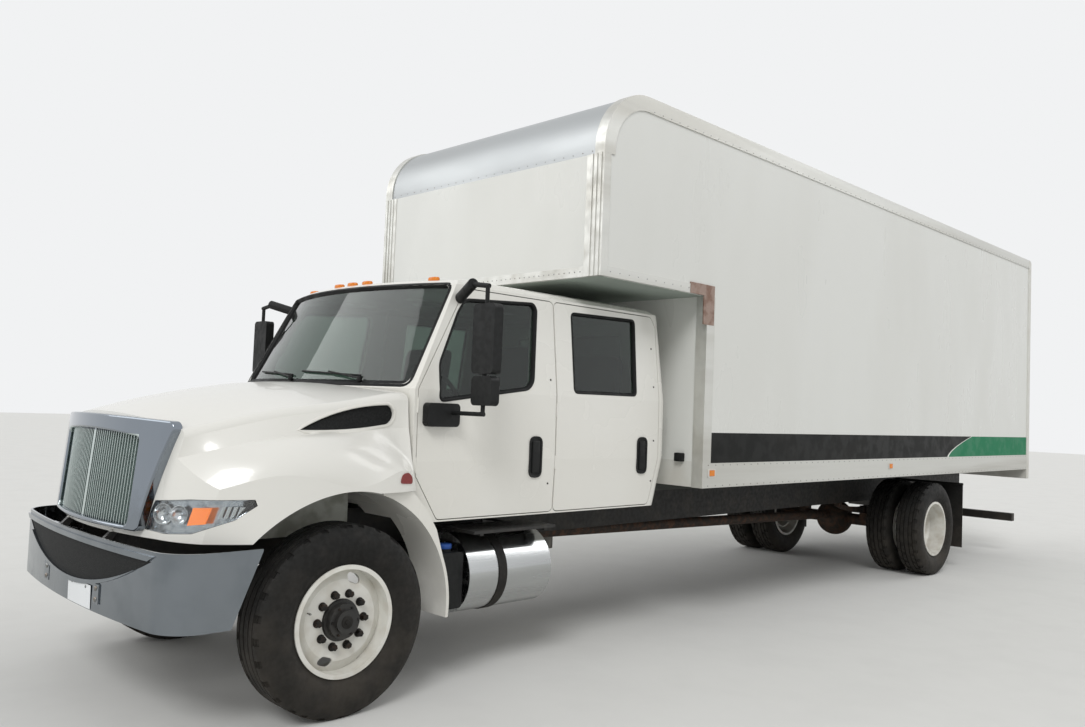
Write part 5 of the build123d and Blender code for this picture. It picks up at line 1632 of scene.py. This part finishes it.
@dataclass
class Seats:
    """Two front seats and the rear bench, as padded forms on hard bases."""

    floor_z: float = 1.105
    # Name, distance to the left, distance behind the front axle, half width
    places: tuple[tuple[str, float, float, float], ...] = (
        ("driver", 0.480, 1.390, 0.250), ("passenger", -0.480, 1.390, 0.250), ("bench", 0.0, 2.260, 0.800),
    )
    cuts: int = 9
    corner_pull: float = 0.10
    side_pull: float = 0.035
    crown_drop: float = 0.28
    seam_at: float = 0.55
    seam_w: float = 0.06
    seam_deep: float = 0.05
    back_lean: float = 0.1

    def pad(self, name: str, low: Vector, high: Vector, crown_axis: int, lean: float) -> bpy.types.Object:
        """Builds one crowned cushion.

        Args:
            name: The cushion's name.
            low: Lowest corner of the space that it fills.
            high: Highest corner of that space.
            crown_axis: The axis along which its face bulges.
            lean: How far its top lies behind its foot.

        Returns:
            The cushion.
        """
        middle, half = (low + high) / 2, (high - low) / 2
        flat = [i for i in range(3) if i != crown_axis]

        def shaped(p: Vector) -> Vector:
            """Rounds the corners, crowns the face and sews in two channels.

            Args:
                p: A point of the plain block.

            Returns:
                Its place on the cushion.
            """
            u = Vector([(p[i] - middle[i]) / half[i] for i in range(3)])
            edge = max(abs(u[i]) for i in flat)
            pull = 1 - self.corner_pull * edge**6 if abs(u[crown_axis]) > 0.9 else 1.0
            dent = self.seam_deep * math.exp(-((abs(abs(u[0]) - self.seam_at) / self.seam_w) ** 2))
            spot = Vector(u)
            spot[crown_axis] = u[crown_axis] * ((1 - self.crown_drop * edge**4) - dent)
            for i, other in (flat, reversed(flat)):
                spot[i] = u[i] * (1 - self.side_pull * abs(u[other]) ** 5) * pull
            found = Vector([middle[i] + spot[i] * half[i] for i in range(3)])
            found.y += lean * (found.z - low.z) / (high.z - low.z)
            return found

        form = Form().box(low, high).cut_fine(self.cuts).moved(shaped)
        made = form.piece(name, SEAT_CLOTH, "chassis", sharp=180, subdivide=1)
        return made

    def build(self) -> None:
        """Builds bases, cushions and backs, and replaces the CAD seats."""
        bases = Form()
        z = self.floor_z
        for name, x, y, half in self.places:
            left, right = x - half, x + half
            bases.crate((left + 0.06, y - 0.19, z), (right - 0.06, y + 0.20, z + 0.262), 0.015)
            low, high = place(left, y - 0.26, z + 0.262), place(right, y + 0.24, z + 0.40)
            self.pad(f"seat_cushion_{name}", low, high, 2, 0.0)
            low, high = place(left, y + 0.175, z + 0.385), place(right, y + 0.295, z + 1.015)
            self.pad(f"seat_back_{name}", low, high, 1, self.back_lean)
        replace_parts(bases.piece("seat_bases", BLACK_PLASTIC, "chassis"), "seats")


@dataclass
class Headlamps:
    """Clear lens, bright bowl, reflectors and amber turn lamp at each front corner."""

    wall: float = 0.003
    # Name, distance across the lamp, height, radius
    reflectors: tuple[tuple[str, float, float, float], ...] = (
        ("main", 0.062, 1.080, 0.050), ("dip", 0.172, 1.086, 0.044),
    )
    # Offset and share of the radius, along a reflector's bright face and back along its other one
    bright_face: tuple[Point2, ...] = ((-0.021, 0.40), (-0.014, 0.68), (-0.004, 0.88), (0.008, 1.0))
    dull_face: tuple[Point2, ...] = ((-0.006, 0.92), (-0.017, 0.72), (-0.024, 0.42))
    throat_r: float = 0.006
    rim_w: float = 0.003
    hub_deep: float = 0.030
    amber: tuple[Point2, ...] = ((0.236, 1.040), (0.330, 1.052), (0.358, 1.132), (0.262, 1.128))
    amber_deep: float = 0.008
    fins_at: tuple[float, ...] = (0.392, 0.418, 0.444, 0.470)
    fin_low: float = 1.082
    fin_high: float = 1.140
    fin_lean: float = 0.018
    fin_deep: float = 0.009

    def build(self) -> None:
        """Builds the lamps of both sides."""
        for side in Side:
            self.shells(side)
            self.inside(side)

    def shells(self, side: Side) -> None:
        """Splits the CAD lamp of one side into its lens and its bowl.

        Args:
            side: The side of the truck.
        """
        s = side.value
        outward = Vector((0.6 * s, -0.8, 0.15)).normalized()
        for part, ahead, finish in (("lens", True, CLEAR_LENS), ("bowl", False, LAMP_BOWL)):
            form = Form()
            form.bm.from_mesh(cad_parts["headlamps"].data)
            bmesh.ops.remove_doubles(form.bm, verts=list(form.bm.verts), dist=1e-5)
            form.bm.normal_update()
            away = [
                f for f in form.bm.faces
                if f.calc_center_median().x * s < 0 or (f.normal.dot(outward) > 0.25) != ahead
            ]
            bmesh.ops.delete(form.bm, geom=away, context="FACES")
            made = form.piece(f"headlamp_{part}_{side.word}", finish, "hood")
            walls = made.modifiers.new("wall", "SOLIDIFY")
            walls.thickness = self.wall
            walls.offset = -1.0
            if not ahead:
                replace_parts(made, "headlamps")

    def inside(self, side: Side) -> None:
        """Builds what shows through the lens of one side.

        Args:
            side: The side of the truck.
        """
        s = side.value
        along, deep = Vector((0.8 * s, 0.6, 0)), Vector((-0.6 * s, 0.8, 0))
        corner = place(0, 0, 0)
        skin = Surface("headlamps")

        def spot(u: float, z: float, back: float) -> Vector:
            """Gives a point behind the lens at a distance u across the lamp."""
            return skin.seat(corner + along * u + Vector((0, 0, z)), deep) + deep * back

        for word, u, z, r in self.reflectors:
            hub = spot(u, z, self.hub_deep)
            (first, _), (last, _) = self.bright_face[0], self.dull_face[-1]
            profile = [
                (first - 0.005, self.throat_r), *((a, share * r) for a, share in self.bright_face),
                (self.bright_face[-1][0], r + self.rim_w), *((a, share * r) for a, share in self.dull_face),
                (last - 0.005, self.throat_r),
            ]
            Form().turned(profile, hub, -deep, 36).piece(f"reflector_{word}_{side.word}", REFLECTOR, "hood")
            bulb = Form().rod(hub + deep * 0.024, hub - deep * 0.002, 0.009, 14, tip=0.007, bevel=0.002)
            bulb.piece(f"bulb_{word}_{side.word}", REFLECTOR, "hood")
        low_in, low_out, high_out, high_in = (Vector(point) for point in self.amber)

        def lens(a: float, b: float) -> Vector:
            """Gives a point of the turn lamp's face."""
            return spot(*low_in.lerp(low_out, a).lerp(high_in.lerp(high_out, a), b), self.amber_deep)

        Form().sheet(10, 6, lens, deep * 0.014).piece(f"turn_lamp_{side.word}", LIT_AMBER, "hood")
        fins = Form()
        back = deep * 0.020 + along * 0.016
        for u in self.fins_at:
            low = spot(u, self.fin_low, self.fin_deep)
            high = spot(u + self.fin_lean, self.fin_high, self.fin_deep)
            fins.slab([low, high, high + back, low + back], along * 0.004)
        fins.piece(f"lamp_fins_{side.word}", REFLECTOR, "hood")


@dataclass
class FrontEnd:
    """Blank number plate, mesh in the bumper's opening and the core behind the grille."""

    smile_half: float = 0.936
    smile_top: float = 0.890
    smile_low: float = 0.688
    bumper_y: float = -1.0265
    # How far the bumper's plate falls back for each square metre from the centre line
    bumper_bow: float = 60 / 930**2 * 1000
    plate_from: Point2 = (0.014, 0.560)
    plate_to: Point2 = (0.330, 0.682)
    plate_y: float = -1.0322
    plate_rake: float = 0.0022
    plate_bolts: Point2 = (0.2, 0.8)
    core_half: float = 0.532
    core_low: float = 1.003
    core_high: float = 1.478
    core_y: float = -0.946
    core_bow: float = 0.105
    bow_half: float = 0.700
    core_rake: float = 0.0875
    rake_from: float = 1.100
    bracket_x: float = 0.392
    bracket_z: Point2 = (0.622, 0.678)
    bracket_y: float = -1.0235

    def mesh_at(self, a: float, b: float) -> Vector:
        """Gives a point of the mesh in the bumper's opening.

        Args:
            a: Share of the way across, from 0 to 1.
            b: Share of the way up, from 0 to 1.

        Returns:
            The point.
        """
        rise = self.smile_top - self.smile_low
        radius = (self.smile_half**2 + rise**2) / (2 * rise)
        x = self.smile_half * (2 * a - 1)
        low = self.smile_low + radius - math.sqrt(radius**2 - x**2)
        return place(x, self.bumper_y + self.bumper_bow * x**2, low + (self.smile_top - low) * b)

    def plate_at(self, a: float, b: float) -> Vector:
        """Gives a point of the number plate, bent along the bumper below its lip.

        Args:
            a: Share of the way across, from 0 to 1.
            b: Share of the way up, from 0 to 1.

        Returns:
            The point.
        """
        (x0, z0), (x1, z1) = self.plate_from, self.plate_to
        x = x0 + (x1 - x0) * a
        return place(x, self.plate_y - self.plate_rake * b + self.bumper_bow * x**2, z0 + (z1 - z0) * b)

    def core_at(self, a: float, b: float) -> Vector:
        """Gives a point of the radiator's core, bowed and raked like the nose.

        Args:
            a: Share of the way across, from 0 to 1.
            b: Share of the way up, from 0 to 1.

        Returns:
            The point.
        """
        x, z = self.core_half * (2 * a - 1), self.core_low + (self.core_high - self.core_low) * b
        bow, rake = self.core_bow * (x / self.bow_half) ** 2, self.core_rake * (z - self.rake_from)
        return place(x, self.core_y + bow + rake, z)

    def build(self) -> None:
        """Builds the plate, the mesh and the core."""
        Form().sheet(32, 4, self.mesh_at, (0, 0.003, 0)).piece("bumper_mesh", BLACK_MESH, "chassis")
        Form().sheet(16, 4, self.core_at, (0, 0.003, 0)).piece("radiator_core_painted_light", RADIATOR_CORE_PAINTED_LIGHT, "hood")
        plate = Form().sheet(12, 4, self.plate_at, (0, -0.0012, 0))
        plate.piece("number_plate_blank", PLATE_ENAMEL, "chassis")
        bolts = Form()
        for a in self.plate_bolts:
            seat = self.plate_at(a, 0.88)
            bolts.rod(seat, seat - Vector((0, 0.0045, 0)), 0.007, 12, bevel=0.001)
        for s in (-1, 1):
            for z in self.bracket_z:
                seat = place(s * self.bracket_x, self.bracket_y, z)
                bolts.rod(seat, seat - Vector((0, 0.007, 0)), 0.016, 20, tip=0.009, bevel=0.002)
        bolts.piece("bumper_bolts", ZINC, "chassis")


@dataclass
class HoodOutlets:
    """Raised lip and black mesh of the air outlet in each side of the hood."""

    # Each arc of the outlet: its start, a point that it passes, and its steps
    arcs: tuple[tuple[Point2, Point2, int], ...] = (
        ((-0.232, 1.523), (0.0, 1.622), 20), ((0.300, 1.672), (0.338, 1.612), 8),
        ((0.285, 1.560), (0.070, 1.534), 20),
    )
    section: tuple[Point2, ...] = (
        (0.018, -0.0008), (0.018, 0.0008), (0.012, 0.0050), (0.004, 0.0050), (0.001, 0.0), (0.001, -0.0008),
    )
    # Front and rear end of the mesh's low and high edge
    mesh_low: tuple[Point2, Point2] = ((-0.245, 1.500), (0.360, 1.530))
    mesh_high: tuple[Point2, Point2] = ((-0.245, 1.575), (0.360, 1.710))
    mesh_deep: float = 0.017
    skin_x: float = 0.9

    def build(self) -> None:
        """Builds lip and mesh on both sides."""
        skin = Surface("hood")
        starts = [first for first, _, _ in self.arcs]
        ring: list[Point2] = []
        for (first, middle, steps), last in zip(self.arcs, [*starts[1:], starts[0]]):
            ring += arc(first, middle, last, steps)
        low, high = ([Vector(end) for end in edge] for edge in (self.mesh_low, self.mesh_high))
        for side in Side:
            s = side.value

            def seat(point: Point2, _by: float, off: float) -> Vector:
                """Gives a point off the hood's side, found just outside the outlet."""
                return skin.seat(place(s * self.skin_x, *point), (-s, 0, 0)) + Vector((s * off, 0, 0))

            def mesh_at(a: float, b: float) -> Vector:
                """Gives a point of the mesh, between the skin below and above the outlet."""
                below, above = (seat(edge[0].lerp(edge[1], a), 0, -self.mesh_deep) for edge in (low, high))
                return below.lerp(above, b)

            Form().bead(ring, self.section, seat).piece(f"outlet_lip_{side.word}", CAB_ENAMEL, "hood")
            mesh = Form().sheet(16, 4, mesh_at, (-s * 0.002, 0, 0))
            mesh.piece(f"outlet_mesh_{side.word}", BLACK_MESH, "hood")


@dataclass
class Mirrors:
    """Flat and convex glass in the rear faces of the door mirrors."""

    middle_x: float = 1.340
    face_y: float = 0.768
    # Name, half width, lowest and highest point
    panes: tuple[tuple[str, float, float, float], ...] = (
        ("flat", 0.083, 1.888, 2.272), ("convex", 0.076, 1.702, 1.850),
    )
    corner_r: float = 0.026
    rim_w: float = 0.006

    def build(self) -> None:
        """Builds a rim and a pane for each mirror face."""
        for side in Side:
            x, door = side.value * self.middle_x, f"door_front_{side.word}"
            for word, half, low, high in self.panes:
                outline = rounded(rectangle((x - half, low), (x + half, high)), self.corner_r)
                inner = grown(outline, -self.rim_w)
                loops = [[place(px, self.face_y - 0.001, pz) for px, pz in loop] for loop in (outline, inner)]
                rim = Form().hoop(*loops, (0, 0.004, 0))
                rim.piece(f"mirror_rim_{word}_{side.word}", BLACK_PLASTIC, door)
                pane = Form().slab([place(px, self.face_y - 0.0005, pz) for px, pz in inner], (0, 0.0025, 0))
                pane.piece(f"mirror_glass_{word}_{side.word}", MIRROR_GLASS, door)


@dataclass
class SmallFittings:
    """Door screws, marker bases, the fender reflector, tank strap and fluid cap."""

    # Door, distance behind the front axle, height
    screws: tuple[tuple[str, float, float], ...] = (
        ("rear", 2.690, 2.170), ("rear", 2.695, 1.880), ("rear", 2.695, 1.476), ("rear", 2.680, 1.175),
        ("front", 1.585, 1.880), ("front", 1.580, 1.190),
    )
    screw_r: float = 0.0075
    screw_proud: float = 0.0045
    markers_y: tuple[float, ...] = (3.145, 6.300)
    marker_x: float = 1.2695
    # Half length, lowest and highest point and corner of the base and of the hole for its lamp
    marker_rims: tuple[tuple[float, float, float, float], ...] = (
        (0.052, 1.204, 1.276, 0.02), (0.031, 1.217, 1.263, 0.004),
    )
    reflector: tuple[Point2, ...] = (
        (0.292, 1.238), (0.396, 1.232), (0.392, 1.272), (0.352, 1.300), (0.306, 1.288),
    )
    reflector_x: float = 0.9
    tank_middle: tuple[float, float, float] = (0.800, 1.205, 0.630)
    tank_r: float = 0.2505
    strap_half: float = 0.034
    strap_thick: float = 0.005
    cap_foot: tuple[float, float, float] = (0.930, 0.820, 0.806)
    # Name, lowest and highest corner, bevel, segments and finish of what sits on the bulkhead
    plates: tuple[tuple[str, Point3, Point3, float, int, Finish], ...] = (
        ("kick_plate", (-1.170, 3.0262, 1.128), (1.170, 3.0302, 1.326), 0.001, 1, FRAME_WHITE),
        ("box", (1.025, 2.985, 1.318), (1.098, 3.0305, 1.384), 0.006, 2, BLACK_PLASTIC),
    )

    def door_screws(self, side: Side) -> None:
        """Builds the dark screws on the doors of one side.

        Args:
            side: The side of the truck.
        """
        s = side.value
        for door in ("front", "rear"):
            form = Form()
            for name, y, z in self.screws:
                if name == door:
                    seat = place(s * (cab_side_x(z) - 0.001), y, z)
                    form.rod(seat, seat + Vector((s * self.screw_proud, 0, 0)), self.screw_r, 12, tip=0.005)
            form.piece(f"door_screws_{door}_{side.word}", DARK_ZINC, f"door_{door}_{side.word}")

    def marker_bases(self) -> None:
        """Builds the pale bases round the side marker lamps."""
        form = Form()
        for side in Side:
            for y in self.markers_y:
                loops = []
                for half, low, high, corner in self.marker_rims:
                    outline = rounded(rectangle((y - half, low), (y + half, high)), corner)
                    loops.append(on_side(side, self.marker_x, outline))
                form.hoop(*loops, (side.value * 0.005, 0, 0))
        form.piece("marker_bases", FRAME_WHITE, "chassis")

    def fender_reflectors(self) -> None:
        """Builds the red reflector behind each front wheel arch of the hood."""
        skin = Surface("hood")
        form = Form()
        for side in Side:
            out = Vector((side.value, 0, 0))
            flat = on_side(side, self.reflector_x, rounded(self.reflector, 0.018, 4))
            form.slab([skin.seat(p, -out) - out * 0.003 for p in flat], out * 0.008)
        form.piece("fender_reflectors", RED_LENS, "hood")

    def chassis_fittings(self) -> None:
        """Builds the strap round the fuel tank, the fluid cap and the box on the bulkhead."""
        strap = rectangle((-self.strap_half, self.tank_r), (self.strap_half, self.tank_r + self.strap_thick))
        Form().turned(strap, place(*self.tank_middle), (0, 1, 0), 56).piece("tank_strap", RUBBER, "chassis")
        foot = place(*self.cap_foot)
        cap = Form().rod(foot, foot + Vector((0, 0, 0.030)), 0.042, 24, bevel=0.004)
        cap.piece("fluid_cap", BLUE_CAP, "chassis")
        for name, low, high, bevel, segments, finish in self.plates:
            Form().crate(low, high, bevel, segments).piece(f"bulkhead_{name}", finish, "chassis")

    def build(self) -> None:
        """Builds all the fittings."""
        for side in Side:
            self.door_screws(side)
        self.marker_bases()
        self.fender_reflectors()
        self.chassis_fittings()


@dataclass(frozen=True)
class PhotoCamera:
    """The camera that took the photograph, found by calibration."""

    x: float = 5.3075
    y: float = -2.7434
    z: float = 1.695
    yaw: float = 0.789
    pitch: float = 0.0482
    roll: float = 0.0397
    focal_px: float = 906.4
    frame_px: float = 1085.0
    sensor_mm: float = 36.0

    def build(self) -> None:
        """Sets the scene's camera."""
        level = math.cos(self.pitch)
        forward = Vector((-math.sin(self.yaw) * level, math.cos(self.yaw) * level, math.sin(self.pitch)))
        right = forward.cross(Vector((0, 0, 1))).normalized()
        up = right.cross(forward)
        tilted_right = right * math.cos(self.roll) + up * math.sin(self.roll)
        tilted_up = up * math.cos(self.roll) - right * math.sin(self.roll)
        data = bpy.data.cameras.new("photo_camera")
        data.sensor_width = self.sensor_mm
        data.sensor_fit = "HORIZONTAL"
        data.lens = self.focal_px / self.frame_px * self.sensor_mm
        data.clip_end = 200.0
        camera = bpy.data.objects.new("photo_camera", data)
        turn = Matrix((tilted_right, tilted_up, -forward)).transposed().to_4x4()
        camera.matrix_world = Matrix.Translation(place(self.x, self.y, self.z)) @ turn
        bpy.context.scene.collection.objects.link(camera)
        bpy.context.scene.camera = camera


@dataclass(frozen=True)
class Studio:
    """Pale floor, white surroundings and soft lamps."""

    floor_half: float = 60.0
    floor_thick: float = 0.05
    floor_colour: str = "#D9D9D6"
    backdrop: str = "#F1F2F3"
    ambient_colour: str = "#FFFFFF"
    ambient: float = 0.55
    # Name, the way to the lamp, its strength and its spread in degrees
    suns: tuple[tuple[str, Point3, float, float], ...] = (
        ("key", (5.0, -7.0, 7.5), 1.25, 22.0),
        ("fill", (-7.0, -6.0, 5.0), 0.55, 40.0),
        ("rim", (3.0, 9.0, 6.0), 0.6, 30.0),
    )

    def build(self) -> None:
        """Builds floor, world and lamps."""
        half = self.floor_half
        floor = Form().box((-half, -half, -self.floor_thick), (half, half, 0.0))
        floor.piece("studio_floor", Finish("matt_studio_floor", self.floor_colour, 0.85, second="#D3D3D0"))
        world = bpy.data.worlds.new("studio")
        bpy.context.scene.world = world
        world.use_nodes = True
        tree = world.node_tree
        tree.nodes.clear()
        paths = node(tree, "ShaderNodeLightPath")
        seen = paths.outputs["Is Camera Ray"]
        for kind in ("Is Glossy Ray", "Is Transmission Ray"):
            feeds = {0: seen, 1: paths.outputs[kind]}
            seen = node(tree, "ShaderNodeMath", feeds, operation="MAXIMUM").outputs[0]
        lit = node(
            tree, "ShaderNodeBackground", {"Color": linear(self.ambient_colour), "Strength": self.ambient}
        )
        shown = node(tree, "ShaderNodeBackground", {"Color": linear(self.backdrop), "Strength": 1.0})
        mixed = node(tree, "ShaderNodeMixShader", {0: seen, 1: lit.outputs[0], 2: shown.outputs[0]})
        node(tree, "ShaderNodeOutputWorld", {"Surface": mixed.outputs[0]})
        for name, where, strength, angle in self.suns:
            data = bpy.data.lights.new(f"{name}_lamp", "SUN")
            data.energy = strength
            data.angle = math.radians(angle)
            lamp = bpy.data.objects.new(f"{name}_lamp", data)
            lamp.matrix_world = Vector(where).to_track_quat("Z", "Y").to_matrix().to_4x4()
            bpy.context.scene.collection.objects.link(lamp)
        bpy.context.scene.view_settings.view_transform = "Standard"


def dress_nodes() -> None:
    """Gives every CAD node that stays in view its finish."""
    for name, finish in NODE_FINISHES.items():
        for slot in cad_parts[name].material_slots:
            slot.material = finish.material()
        LOG.info("%s: CAD node in %s", name, finish.name)


def main() -> None:
    """Builds the truck's dressing, the studio and the camera."""
    logging.basicConfig(level=logging.INFO, format="%(name)s: %(message)s")
    PhotoCamera().build()
    Studio().build()
    dress_nodes()
    for assembly in (
        RunningGear(), CabGlazing(), Windscreen(), DoorHandles(), SideStripes(), BoxRivets(), TailFittings(),
        Gussets(), EngineBay(), Seats(), Headlamps(), FrontEnd(), HoodOutlets(), Mirrors(), SmallFittings(),
    ):
        assembly.build()


if __name__ == "__main__":
    main()
